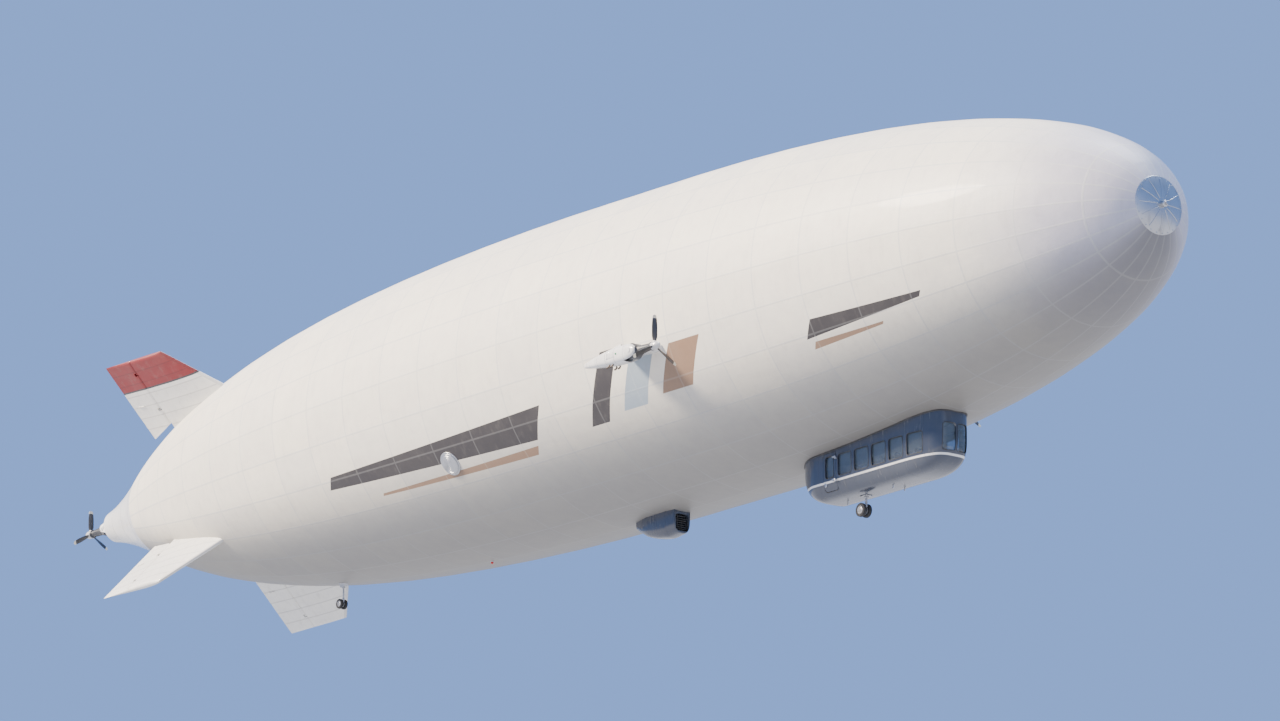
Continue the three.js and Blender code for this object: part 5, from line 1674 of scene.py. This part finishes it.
def spun_y(name, profile, steps, centre):
    """An outline of places along Y and radii, spun about a crosswise axle."""
    turned = spun(name, profile, steps)
    turned.data.transform(Matrix.Translation(centre) @ Matrix.Rotation(math.pi / 2, 4, "Z"))
    return turned


for name, (x, foot, strut_end, strut, wheel, width, gap, trail) in GEARS.items():
    leg_parts = [bar((x, 0, strut_end), (x, 0, foot + 0.012), strut, 32, 0.002)]
    leg_parts.append(bar((x, 0, foot - 0.03), (x, 0, foot), strut * 1.35, 32, 0.004))
    leg_parts.append(bar((x, 0, strut_end), (x, 0, strut_end + 0.014), strut * COLLAR, 32, 0.002))
    if name == "main":
        leg_parts.append(blocky((x - 0.11, -0.085, foot), (x + 0.11, 0.085, foot + FOOT_PLATE), 0.004))
        bolt_places = [(x + a, b) for a in (-0.09, 0, 0.09) for b in (-0.068, 0.068)]
        for a, b in bolt_places:
            leg_parts.append(bar((a, b, foot - 0.008), (a, b, foot + 0.002), 0.009, 6, 0.001))
    else:
        rings = []
        for share in FAIRING_STEPS:
            eased = share**1.6
            half_length = between(*FAIRING_LENGTHS, eased)
            half_width = between(*FAIRING_WIDTHS, eased)
            z = foot + (FAIRING_RISE + FOOT_PLATE) * share
            loop = rounded_loop(x - half_length, x + half_length, -half_width, half_width, half_width * 0.8)
            rings.append([(a, b, z) for a, b in loop])
        leg_parts.append(lofted("tail gear fairing", rings))
    for turn in range(4):
        angle = math.pi / 4 + math.pi / 2 * turn
        reach = strut * 1.9
        gusset = blocky((strut * 0.7, -0.003, foot - 0.026), (reach, 0.003, foot + 0.002), 0.001)
        gusset.data.transform(Matrix.Translation((x, 0, 0)) @ Matrix.Rotation(angle, 4, "Z"))
        leg_parts.append(gusset)
    leg = joined(name + "_leg", leg_parts)
    shank_top = strut_end - 0.0003
    axle_x, axle_z = x - trail, shank_top - wheel - 0.01
    arm = gap - 0.01
    fork_parts = [bar((x, 0, axle_z + wheel * 0.4), (x, 0, shank_top), strut, 32, 0.002)]
    fork_parts.append(bar((x, 0, shank_top - 0.016), (x, 0, shank_top), strut * COLLAR, 32, 0.002))
    arm_rings = []
    for share in ARM_STEPS:
        front_end = between(x + 0.022, axle_x + 0.02, share)
        back_end = between(x - 0.026, axle_x - 0.034, share)
        front_low = axle_z + between(wheel * 0.7, -0.03, share)
        back_low = axle_z + between(wheel * 0.95, -0.006, share)
        side = arm * 0.7
        loop = []
        for a, b in rounded_loop(-1, 1, -1, 1, 0.5, 4):
            along = (a + 1) / 2
            loop.append((between(back_end, front_end, along), b * side, between(back_low, front_low, along)))
        arm_rings.append(loop)
    fork_parts.append(lofted("fork arm", arm_rings))
    hub_outline = [(-arm, 0), (-arm, GEAR_HUB), (arm, GEAR_HUB), (arm, 0)]
    fork_parts.append(spun_y("fork hub", hub_outline, 32, (axle_x, 0, axle_z)))
    fork = joined(name + "_fork", fork_parts)
    rubber_parts = []
    metal_parts = [bar((axle_x, -gap - 0.02, axle_z), (axle_x, gap + 0.02, axle_z), AXLE, 24, 0)]
    for side in (-1, 1):
        bead = wheel * 0.56
        shoulder = wheel * 0.93
        wall = [(0.06, bead), (0.0, bead * 1.12), (0.0, shoulder * 0.88), (0.05, shoulder)]
        wall = [(gap + width * a, r) for a, r in (*wall, (0.14, wheel * 0.985))]
        tread = []
        for groove in (0.3, 0.5, 0.7):
            for offset, r in ((-0.035, wheel), (-0.02, wheel * 0.975), (0.02, wheel * 0.975), (0.035, wheel)):
                tread.append((gap + width * (groove + offset), r))
        mirrored = [(2 * gap + width - a, r) for a, r in reversed(wall)]
        tyre_profile = [(side * a, r) for a, r in (*wall, *tread, *mirrored, wall[0])]
        rubber_parts.append(spun_y("tyre", tyre_profile, 64, (axle_x, 0, axle_z)))
        rim = [(0.06, 0.0), (0.06, 0.2), (0.16, 0.26), (0.2, 0.46), (0.05, 0.52), (0.05, 0.575)]
        rim += [(0.95, 0.575), (0.95, 0.52), (0.8, 0.46), (0.84, 0.26), (0.93, 0.2), (0.93, 0.0)]
        rim_profile = [(side * (gap + width * a), wheel * r) for a, r in rim]
        metal_parts.append(spun_y("rim", rim_profile, 48, (axle_x, 0, axle_z)))
        for k in range(WHEEL_BOLTS):
            turn = math.tau * k / WHEEL_BOLTS
            reach = wheel * 0.15
            centre = Vector((axle_x + reach * math.cos(turn), 0, axle_z + reach * math.sin(turn)))
            outer = side * (gap + width * 0.93)
            start = centre + Vector((0, outer - side * 0.01, 0))
            metal_parts.append(bar(start, centre + Vector((0, outer + side * 0.004, 0)), 0.005, 6, 0))
    tyres = joined(name + "_tyres", rubber_parts)
    rims = joined(name + "_rims", metal_parts)
    for piece, node, body, material, slot in (
        (leg, name + "_gear_leg", "root", gear_paint, "steel"),
        (fork, name + "_gear_fork", name + "_caster", gear_paint, "steel"),
        (tyres, name + "_wheels", name + "_wheels", tyre_rubber, "tyre"),
        (rims, name + "_wheels", name + "_wheels", gear_paint, "steel"),
    ):
        smoothed(piece)
        painted(piece, material)
        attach(piece, body)
        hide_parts(node)

# Pods: a composite cowling on each flank around an engine, open at its front for the swivelling head.
# Each stands off the hull on a broad hollow strut of aerofoil section.
POD = (4.225, 4.24, -1.4)
POD_SECTIONS = [
    # place behind the pod's front, half width, half height
    (0, 0.165, 0.08),
    (0.09, 0.185, 0.15),
    (0.35, 0.195, 0.195),
    (0.75, 0.195, 0.19),
    (1.15, 0.165, 0.15),
    (1.55, 0.11, 0.095),
    (1.85, 0.045, 0.04),
]
POD_FRONT = 0.15
POD_WALL = 0.022
POD_SLOT = (-0.245, 0.13)
POD_EXPONENT = 0.75
TRUNNION = 0.038
POD_DROOP = math.atan2(-POD[2], POD[1])
POD_REACH = math.hypot(POD[1], POD[2]) - HULL_RADIUS
STRUT_CHORDS = ((0.0, -0.3, -1.15), (POD_REACH + 0.2, -0.15, -1.3))
STRUT_THICKNESS = 0.15
STRUT_STEPS = 24
POD_STEPS = 44
POD_SIDES = 56
BEARING_CAP = [(0.186, 0.0), (0.199, 0.0), (0.199, 0.02), (0.196, 0.048), (0.186, 0.054)]
LOUVRES = 6
INTAKE_SECTIONS = [
    # x, half width, top
    (-0.42, 0.062, 0.232),
    (-0.44, 0.066, 0.236),
    (-0.55, 0.062, 0.228),
    (-0.72, 0.04, 0.204),
    (-0.82, 0.012, 0.178),
]
INTAKE_BASE = 0.15


def pod_form(name, start, end, inset):
    """The pod's closed form between two places behind its front, drawn in by an inset."""
    rings = []
    for k in range(POD_STEPS + 1):
        place = between(start, end, k / POD_STEPS)
        half_width, half_height = section_size(POD_SECTIONS, place)
        near_end = min(1, max(0, (POD_SECTIONS[-1][0] - place) / 0.05))
        shrink = (1 - (1 - near_end) ** 2) ** 0.5 * 0.75 + 0.25
        ring = []
        for i in range(POD_SIDES):
            turn = math.tau * i / POD_SIDES
            across = math.copysign(abs(math.cos(turn)) ** POD_EXPONENT, math.cos(turn))
            up = math.copysign(abs(math.sin(turn)) ** POD_EXPONENT, math.sin(turn))
            y = (half_width - inset) * across * shrink
            ring.append((POD_FRONT - place, y, (half_height - inset) * up * shrink))
        rings.append(ring)
    return lofted(name, rings)


def aerofoil(front, back, thickness, at, count=20):
    """The points of a symmetrical section between a front and a back, thickest a third of the way back."""
    chord = front - back
    upper = []
    for i in range(count + 1):
        share = (i / count) ** 1.8
        root = 0.2969 * math.sqrt(share) - 0.126 * share - 0.3516 * share**2
        half = 5 * thickness * (root + 0.2843 * share**3 - 0.1036 * share**4)
        upper.append((front - chord * share, max(half, 0.0)))
    return [at(x, t) for x, t in upper] + [at(x, -t) for x, t in reversed(upper[1:-1])]


cowling = pod_form("cowling", 0, POD_SECTIONS[-1][0], 0)
cut_away(cowling, pod_form("cavity", POD_FRONT - POD_SLOT[0] - 0.02, 1.45, POD_WALL))
slot_back, slot_half = POD_SLOT
cut_away(cowling, blocky((slot_back, -slot_half, -0.3), (0.3, slot_half, 0.3), 0))
cut_away(cowling, bar((0, -0.3, 0), (0, 0.3, 0), TRUNNION + 0.0005, 48, 0))
cut_away(cowling, bar((slot_back - 0.06, 0, 0), (slot_back + 0.02, 0, 0), 0.06, 32, 0))
modified(cowling, "BEVEL", width=0.004, segments=2, limit_method="ANGLE", angle_limit=math.radians(50))
trim_parts = []
for side in (1, -1):
    cap = spun_y("bearing cap", BEARING_CAP, 32, (0, 0, 0))
    if side < 0:
        cap.data.transform(Matrix.Scale(-1, 4, (0, 1, 0)))
        cap.data.flip_normals()
    trim_parts.append(cap)
for k in range(LOUVRES):
    x = -0.5 - 0.05 * k
    for side in (1, -1):
        y = side * 0.192
        trim_parts.append(blocky((x - 0.017, y - 0.006, -0.06), (x + 0.017, y + 0.006, 0.06), 0.003))
exhaust_parts = []
for side in (1, -1):
    for k in range(2):
        x = -0.62 - 0.12 * k
        points = [(x, side * 0.09, -0.14), (x - 0.005, side * 0.1, -0.19), (x - 0.035, side * 0.106, -0.215)]
        points.append((x - 0.085, side * 0.108, -0.222))
        exhaust_parts.append(tube("exhaust", points, 0.019, 5))
intake_ring = []
for x, half, top in INTAKE_SECTIONS:
    loop = rounded_loop(-half, half, INTAKE_BASE, top, min(half, 0.02) * 0.9, 4)
    intake_ring.append([(x, y, z) for y, z in loop])
intake = cut_away(lofted("intake", intake_ring), blocky((-0.5, -0.05, 0.18), (-0.4, 0.05, 0.222), 0))
trim_parts.append(intake)
cowling_trim = joined("cowling trim", trim_parts)
exhausts = joined("exhausts", exhaust_parts)
pod_paint = panel_finish("pod composite", spacing=0.31, axis=1, amount=0.4, half_width=0.003)
strut_paint = panel_finish("strut composite", spacing=0.42, axis=2, amount=0.35, half_width=0.003)
BURNT_BROWN = (0.12, 0.095, 0.08)
SOOT = (0.04, 0.035, 0.03)
burnt, *_ = finish("burnt steel", BURNT_BROWN, SOOT, 0.6, 30, 0.5, metallic=0.85, bump=0.001)
for piece, look in ((cowling, pod_paint), (cowling_trim, pod_paint), (exhausts, burnt)):
    smoothed(piece)
    painted(piece, look)
engine_metal, *_ = finish(
    "engine castings",
    (0.3, 0.3, 0.31),
    (0.06, 0.05, 0.045),
    amount=0.7,
    grain=25,
    roughness=0.55,
    metallic=0.8,
    bump=0.003,
)

for name, side in (("port", 1), ("starboard", -1)):
    centre = Vector((POD[0], side * POD[1], POD[2]))
    for piece, kind, slot in (
        (cowling, "pod_cowling_shell_", "white_panel"),
        (cowling_trim, "pod_cowling_trim_", "white_panel"),
        (exhausts, "pod_exhausts_", "bare_metal"),
    ):
        part = placed_copy(piece, kind + name, centre)
        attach(part, "root")
        if piece is not exhausts:
            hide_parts("pod_cowling_" + name)
    inward = Vector((0, -side * math.cos(POD_DROOP), math.sin(POD_DROOP)))
    across = Vector((0, side * math.sin(POD_DROOP), math.cos(POD_DROOP)))
    (reach_in, front_in, back_in), (reach_out, front_out, back_out) = STRUT_CHORDS
    rings = []
    for k in range(STRUT_STEPS + 1):
        reach = between(0.11, POD_REACH + 0.1, k / STRUT_STEPS)
        share = (reach - reach_in) / (reach_out - reach_in)
        near_hull = max(0, 1 - (POD_REACH - reach) / 0.1)
        near_pod = max(0, 1 - (reach - 0.17) / 0.05)
        swell = 1 + 0.28 * min(1, near_hull) ** 2 + 0.18 * min(1, near_pod) ** 2
        front_x = between(front_in, front_out, share) + 0.03 * (swell - 1)
        back_x = between(back_in, back_out, share) - 0.06 * (swell - 1)

        def on_strut(x, t, reach=reach):
            return centre + Vector((x, 0, 0)) + inward * reach + across * t

        rings.append(aerofoil(front_x, back_x, STRUT_THICKNESS * swell, on_strut))
    strut_skin = lofted("pod_strut_skin_" + name, rings)
    smoothed(strut_skin, 40)
    painted(strut_skin, strut_paint)
    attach(strut_skin, "root")
    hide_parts("pod_strut_" + name)
    painted(nodes["pod_engine_" + name], engine_metal)
for piece in (cowling, cowling_trim, exhausts):
    bpy.data.objects.remove(piece)
painted(nodes["stern_engine"], engine_metal)

# Swivelling gear heads: a cast alloy drum between two trunnions, with a neck out to the propeller's flange.
# Enamelled dark grey, with bolts round the drum's covers and the flange, and ribs along the neck.
POD_DRUM = 0.165
STERN_DRUM = 0.15
DRUM_HALF = 0.12
TRUNNION_END = 0.176
NECK_END = 0.6
NECK_OUTLINE = [(0.4, 0.076), (0.53, 0.071), (0.553, 0.074), (0.56, 0.094), (0.563, 0.095)]
NECK_OUTLINE += [(0.585, 0.095), (0.587, 0.091), (NECK_END, 0.091), (NECK_END, 0)]
FLANGE_BOLTS = 12
FLANGE_BOLT_CIRCLE = 0.083
COVER_BOLTS = 10
NECK_RIBS = 6
OIL_LINE_LEVELS = (-0.055, 0.055)
BOLT_HEAD = 0.006


def gear_head(name, drum):
    """A gear head whose drum stands at the origin and whose neck runs along X."""
    edge = 0.014
    outline = [(-DRUM_HALF, 0), (-DRUM_HALF, drum - 0.05), (-DRUM_HALF + 0.006, drum - 0.045)]
    outline += [(-DRUM_HALF + 0.006, drum - edge), (-DRUM_HALF + 0.006 + edge, drum)]
    outline += [(-place, radius) for place, radius in reversed(outline)]
    parts = [spun_y("drum", outline, 56, (0, 0, 0))]
    trunnion = [(-TRUNNION_END, 0), (-TRUNNION_END, TRUNNION - 0.003), (-TRUNNION_END + 0.003, TRUNNION)]
    trunnion += [(-place, radius) for place, radius in reversed(trunnion)]
    parts.append(spun_y("trunnions", trunnion, 32, (0, 0, 0)))
    neck = [(0.06, 0), (0.06, 0.105), (drum + 0.02, 0.095), (drum + 0.06, 0.089), *NECK_OUTLINE]
    parts.append(spun("neck", neck, 56))
    for k in range(FLANGE_BOLTS):
        turn = math.tau * k / FLANGE_BOLTS
        y, z = FLANGE_BOLT_CIRCLE * math.cos(turn), FLANGE_BOLT_CIRCLE * math.sin(turn)
        parts.append(bar((0.549, y, z), (0.562, y, z), BOLT_HEAD, 6, 0.001))
    for k in range(NECK_RIBS):
        rib = blocky((drum - 0.01, -0.004, 0.06), (0.5, 0.004, 0.094), 0.002)
        for vertex in rib.data.vertices:
            if vertex.co.x > 0.3:
                vertex.co.z -= 0.014
        rib.data.transform(Matrix.Rotation(math.tau * (k + 0.5) / NECK_RIBS, 4, "X"))
        parts.append(rib)
    for side in (-1, 1):
        inner, outer = side * (DRUM_HALF - 0.008), side * (DRUM_HALF - 0.001)
        for k in range(COVER_BOLTS):
            turn = math.tau * (k + 0.5) / COVER_BOLTS
            x, z = (drum - 0.03) * math.cos(turn), (drum - 0.03) * math.sin(turn)
            parts.append(bar((x, inner, z), (x, outer, z), 0.007, 6, 0.001))
    for z in OIL_LINE_LEVELS:
        line = [(drum * 0.8, 0.05, z * 1.9), (drum + 0.07, 0.03, z * 1.75), (0.42, 0.01, z * 1.5)]
        parts.append(tube("oil line", [*line, (0.5, 0, z * 1.42)], 0.006, 3))
    return smoothed(joined(name, parts), 35)


gear_enamel, *_ = finish(
    "gearbox enamel",
    (0.075, 0.08, 0.088),
    (0.2, 0.17, 0.14),
    amount=0.5,
    grain=30,
    roughness=0.42,
    metallic=0.35,
    bump=0.002,
)
pod_head = gear_head("pod head", POD_DRUM)
painted(pod_head, gear_enamel)
for name, side in (("port", 1), ("starboard", -1)):
    head = placed_copy(pod_head, "pod_gear_head_" + name, (POD[0], side * POD[1], POD[2]))
    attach(head, "head_" + name)
    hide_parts("pod_head_" + name)
bpy.data.objects.remove(pod_head)
stern_gear = gear_head("stern_gear_head", STERN_DRUM)
painted(stern_gear, gear_enamel)
stern_turn = Matrix.Translation((STERN_AXIS, 0, 0)) @ Matrix.Rotation(math.pi, 4, "Z")
stern_gear.data.transform(stern_turn)
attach(stern_gear, "stern_head")
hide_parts("stern_head")

# Propellers: three twisted composite blades in ferrules on a spun alloy spinner, held by screws.
# The blades are in black matt lacquer, with pale safety bands at their tips.
BLADE_PLANE = 0.66
BLADE_STATIONS = [
    # share of the radius, chord, thickness, pitch in degrees
    (0.08, 0.062, 0.046, 55),
    (0.16, 0.078, 0.042, 50),
    (0.3, 0.118, 0.03, 42),
    (0.65, 0.122, 0.018, 26),
    (0.93, 0.092, 0.011, 18),
    (0.985, 0.064, 0.009, 17),
    (1.0, 0.026, 0.005, 17),
]
BAND_START = 0.88
PROPELLERS = {"pod": 0.675, "stern": 0.55}
BLADES = 3
BLADE_STEPS = 40
HUB_SCREWS = 12
SPINNER_OUTLINE = [(0.6003, 0), (0.6003, 0.088), (0.612, 0.088), (0.614, 0.0855), (0.617, 0.0855)]
SPINNER_OUTLINE += [(0.619, 0.0875), (0.7, 0.0872), (0.725, 0.0835), (0.75, 0.0755), (0.775, 0.063)]
SPINNER_OUTLINE += [(0.8, 0.0475), (0.82, 0.033), (0.835, 0.0165), (0.8403, 0)]
blade_lacquer, *_ = finish(
    "blade lacquer",
    (0.028, 0.028, 0.03),
    (0.16, 0.15, 0.14),
    amount=0.4,
    grain=30,
    roughness=0.38,
    coat=0.1,
    bump=0.0006,
)
band_paint, *_ = finish("tip band paint", (0.75, 0.7, 0.55), (0.2, 0.18, 0.15), 0.4, 40, 0.45, bump=0.0006)
spinner_paint, *_ = finish(
    "spinner paint",
    (0.62, 0.62, 0.61),
    (0.14, 0.13, 0.12),
    amount=0.5,
    grain=25,
    roughness=0.3,
    metallic=0.25,
    coat=0.2,
    bump=0.0008,
)


def propeller(name, reach):
    """A propeller about X whose blades turn in the blade plane: its blades, and its spinner."""
    blade_parts = []
    for turn in range(BLADES):
        rings = []
        for k in range(BLADE_STEPS + 1):
            share = between(BLADE_STATIONS[0][0], 1, 1 - (1 - k / BLADE_STEPS) ** 1.3)
            chord, thickness, pitch = section_size(BLADE_STATIONS, share)
            pitch = math.radians(pitch)

            def on_blade(along, through, share=share, pitch=pitch):
                x = BLADE_PLANE + along * math.sin(pitch) + through * math.cos(pitch)
                y = along * math.cos(pitch) - through * math.sin(pitch)
                return x, y, share * reach

            rings.append(aerofoil(chord / 2, -chord / 2, thickness, on_blade, 14))
        blade = lofted("blade", rings)
        blade.data.transform(Matrix.Rotation(math.tau * turn / BLADES, 4, "X"))
        blade_parts.append(blade)
    blades = joined(name + " blades", blade_parts)
    smoothed(blades, 50)
    painted(blades, blade_lacquer, band_paint)
    for face in blades.data.polygons:
        out = math.hypot(face.center.y, face.center.z) / reach
        face.material_index = 1 if out > BAND_START else 0
    hub_parts = [spun("spinner", SPINNER_OUTLINE, 56)]
    for turn in range(BLADES):
        ferrule = bar((BLADE_PLANE, 0, 0.05), (BLADE_PLANE, 0, 0.102), 0.036, 32, 0.004)
        ferrule.data.transform(Matrix.Rotation(math.tau * turn / BLADES, 4, "X"))
        hub_parts.append(ferrule)
    for k in range(HUB_SCREWS):
        screw = bar((0.63, 0, 0.08), (0.63, 0, 0.0885), 0.003, 8, 0)
        screw.data.transform(Matrix.Rotation(math.tau * (k + 0.5) / HUB_SCREWS, 4, "X"))
        hub_parts.append(screw)
    hub = joined(name + " hub", hub_parts)
    smoothed(hub, 40)
    painted(hub, spinner_paint)
    return blades, hub


pod_pieces = propeller("pod propeller", PROPELLERS["pod"])
stern_pieces = propeller("stern propeller", PROPELLERS["stern"])
placings = [
    ("propeller_port", pod_pieces, Matrix.Translation(POD)),
    ("propeller_starboard", pod_pieces, Matrix.Translation((POD[0], -POD[1], POD[2]))),
    ("stern_propeller", stern_pieces, stern_turn),
]
for node_name, pieces, placing in placings:
    for piece, kind in zip(pieces, ("_blades", "_spinner")):
        part = placed_copy(piece, node_name + kind, (0, 0, 0))
        part.data.transform(placing)
        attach(part, node_name)
        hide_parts(node_name)
for piece in (*pod_pieces, *stern_pieces):
    bpy.data.objects.remove(piece)

# Ballonet scoop: a slate composite duct under the hull that feeds air to the ballonets.
# Its intake has a rounded lip and a grille of alloy slats.
SCOOP_SECTIONS = [
    # place behind the nose tip, half width, depth
    (15.9, 0.218, 0.468),
    (15.93, 0.23, 0.482),
    (16.3, 0.25, 0.52),
    (16.9, 0.22, 0.4),
    (17.35, 0.11, 0.15),
]
SCOOP_FRONT = BUOYANCY_AFT - SCOOP_SECTIONS[0][0]
INTAKE_HALF = 0.18
INTAKE_Z = (KEEL - 0.43, KEEL - 0.05)
SCOOP_STEPS = 40
SCOOP_POWER = 0.6
SLAT_HALF = 0.004
SLAT_SPACES = 8
rings = []
for k in range(SCOOP_STEPS + 1):
    aft = between(SCOOP_SECTIONS[0][0], SCOOP_SECTIONS[-1][0], (k / SCOOP_STEPS) ** 1.25)
    half, depth = section_size(SCOOP_SECTIONS, aft)
    x = BUOYANCY_AFT - aft
    ring = [(x, half, KEEL + 0.04), (x, half, KEEL + 0.01)]
    for i in range(1, SCOOP_STEPS):
        turn = math.pi * i / SCOOP_STEPS
        across = math.copysign(abs(math.cos(turn)) ** SCOOP_POWER, math.cos(turn))
        ring.append((x, half * across, KEEL - depth * math.sin(turn) ** SCOOP_POWER))
    ring += [(x, -half, KEEL + 0.01), (x, -half, KEEL + 0.04)]
    rings.append(ring)
scoop = lofted("scoop_duct", rings)
low, high = INTAKE_Z
loop = rounded_loop(-INTAKE_HALF, INTAKE_HALF, low, high, 0.07, 8)
mouth = lofted("mouth", [[(x, y, z) for y, z in loop] for x in (SCOOP_FRONT + 0.1, -0.2)])
cut_away(scoop, mouth)
modified(scoop, "BEVEL", width=0.008, segments=3, limit_method="ANGLE", angle_limit=math.radians(60))
smoothed(scoop, 40)
painted(scoop, panel_finish("scoop composite", 0.31, 1, 0.4, half_width=0.003, paint=CABIN_SLATE))
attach(scoop, "root")
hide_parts("ballonet_scoop")
slats = []
slat_end = INTAKE_HALF + SLAT_HALF
for k in range(1, SLAT_SPACES):
    z = between(low, high, k / SLAT_SPACES)
    slat_low = (SCOOP_FRONT - 0.09, -slat_end, z - SLAT_HALF)
    slats.append(blocky(slat_low, (SCOOP_FRONT - 0.045, slat_end, z + SLAT_HALF), 0.002))
for y in (-0.06, 0.06):
    post_low = (SCOOP_FRONT - 0.1, y - SLAT_HALF, low - SLAT_HALF)
    slats.append(blocky(post_low, (SCOOP_FRONT - 0.09, y + SLAT_HALF, high + SLAT_HALF), 0.001))
grille = joined("scoop_grille", slats)
smoothed(grille)
painted(grille, gear_enamel)
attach(grille, "root")

# Gas valves: a domed metal hood low on each flank, over a clamping ring that is bolted through the cloth.
# Five raised rings stiffen the hood.
VALVE_X = -3.9
VALVE_RADIUS = 0.28
VALVE_HEIGHT = 0.045
VALVE_TURN = 126
VALVE_BOLTS = 20
VALVE_BOLT_CIRCLE = 0.258
VALVE_RINGS = 5
VALVE_RING_PITCH = 0.034
valve_base = hull_at(VALVE_X)
outline = [(-0.06, 0), (-0.06, VALVE_RADIUS), (0.004, VALVE_RADIUS), (0.008, VALVE_RADIUS - 0.004)]
outline += [(0.008, 0.24), (0.012, 0.236), (0.026, 0.234)]
outline += [(0.031, 0.226), (0.038, 0.19), (0.042, 0.14), (0.0445, 0.08), (VALVE_HEIGHT, 0)]
outline = [(valve_base + place, radius) for place, radius in outline]
hood_parts = [spun("hood", outline, 72, axis=(0, 0, 1))]
for k in range(VALVE_BOLTS):
    turn = math.tau * k / VALVE_BOLTS
    x, y = VALVE_BOLT_CIRCLE * math.cos(turn), VALVE_BOLT_CIRCLE * math.sin(turn)
    hood_parts.append(bar((x, y, valve_base + 0.004), (x, y, valve_base + 0.015), BOLT_HEAD, 6, 0.001))
for k in range(VALVE_RINGS):
    middle = 0.2 - VALVE_RING_PITCH * k
    crest = 0.0475 - 0.002 * (VALVE_RINGS - 1 - k)
    section = [(0.034, middle + 0.005), (crest, middle), (0.034, middle - 0.005)]
    section = [(valve_base + z, r) for z, r in section]
    hood_parts.append(spun("ring", section, 48, axis=(0, 0, 1)))
hood = joined("hood", hood_parts)
smoothed(hood)
painted(hood, brushed)
hood.data.transform(Matrix.Translation((VALVE_X, 0, 0)))
for name, side in (("port", 1), ("starboard", -1)):
    valve = turned_copy(hood, "valve_hood_" + name, side * VALVE_TURN)
    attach(valve, "root")
    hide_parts("helium_valve_" + name)
bpy.data.objects.remove(hood)

# Lights and antennas: red beacons above and below the hull, and side lights on the pods, red and green.
# All are domes of tinted plastic on small alloy bases. Three blade antennas stand under the gondola.
BEACONS = ((-8.0, 1), (-6.0, -1))
LENS_LOOK = {"amount": 0.15, "grain": 60, "roughness": 0.12, "bump": 0.0002}
DOME_OUTLINE = [(0.0, 0.0), (0.0, 0.032), (0.02, 0.032), (0.036, 0.026), (0.045, 0.014), (0.048, 0.0)]
SIDE_LENS_OUTLINE = [(0.0, 0.0), (0.0, 0.02), (0.012, 0.02), (0.024, 0.012), (0.028, 0.0)]
SIDE_BASE_OUTLINE = [(0, 0), (0, 0.027), (0.008, 0.024), (0.008, 0)]
SIDE_LIGHT_AFT = 0.42
ANTENNAS = [
    # x, y, height
    (6.2, 0.0, 0.1),
    (7.9, 0.16, 0.085),
    (7.9, -0.16, 0.085),
]
ANTENNA_THICKNESS = 0.012
lamp_reds, *_ = finish("red lens", (0.5, 0.02, 0.015), (0.1, 0.03, 0.02), **LENS_LOOK)
lamp_greens, *_ = finish("green lens", (0.02, 0.35, 0.12), (0.02, 0.08, 0.04), **LENS_LOOK)
base_parts = []
red_parts = []
for x, side in BEACONS:
    radius = side * hull_at(x)
    sunk, top = radius - side * 0.02, radius + side * 0.012
    base = [(sunk, 0.0), (sunk, 0.05), (top, 0.042), (top, 0.0)]
    base_parts.append(spun("beacon base", base, 32, (x, 0, 0), (0, 0, 1)))
    dome = [(radius + side * (0.011 + place), r) for place, r in DOME_OUTLINE]
    red_parts.append(spun("beacon", dome, 32, (x, 0, 0), (0, 0, 1)))
for side in (1, -1):
    centre = (POD[0] - SIDE_LIGHT_AFT, side * (POD[1] + 0.192), POD[2])
    lens = spun_y("side lens", [(side * place, r) for place, r in SIDE_LENS_OUTLINE], 24, centre)
    if side > 0:
        red_parts.append(lens)
    else:
        green_lens = lens
    inner = (POD[0] - SIDE_LIGHT_AFT, side * (POD[1] + 0.188), POD[2])
    base_parts.append(spun_y("lens base", [(side * place, r) for place, r in SIDE_BASE_OUTLINE], 24, inner))
for x, y, height in ANTENNAS:
    floor_z = KEEL - gondola_size(GONDOLA_NOSE - x)[1]
    rings = []
    for share in (0.0, 0.4, 0.8, 1.0):
        chord = 0.07 - 0.03 * share
        middle = x - 0.02 * share
        level = floor_z + 0.01 - height * share

        def on_antenna(along, through, y=y, level=level):
            return along, y + through, level

        rings.append(aerofoil(middle + chord / 2, middle - chord / 2, ANTENNA_THICKNESS, on_antenna, 10))
    base_parts.append(lofted("antenna", rings))
lamp_bases = joined("light_bases_and_antennas", base_parts)
red_lenses = joined("red_lenses", red_parts)
green_lens.name = "green_lens"
for piece, material, slot in (
    (lamp_bases, brushed, "bare_metal"),
    (red_lenses, lamp_reds, "glazing"),
    (green_lens, lamp_greens, "glazing"),
):
    smoothed(piece, 40)
    painted(piece, material)
    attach(piece, "root")

# The bounds of every shown mesh, apart from the floor, are worked out.
low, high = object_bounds()
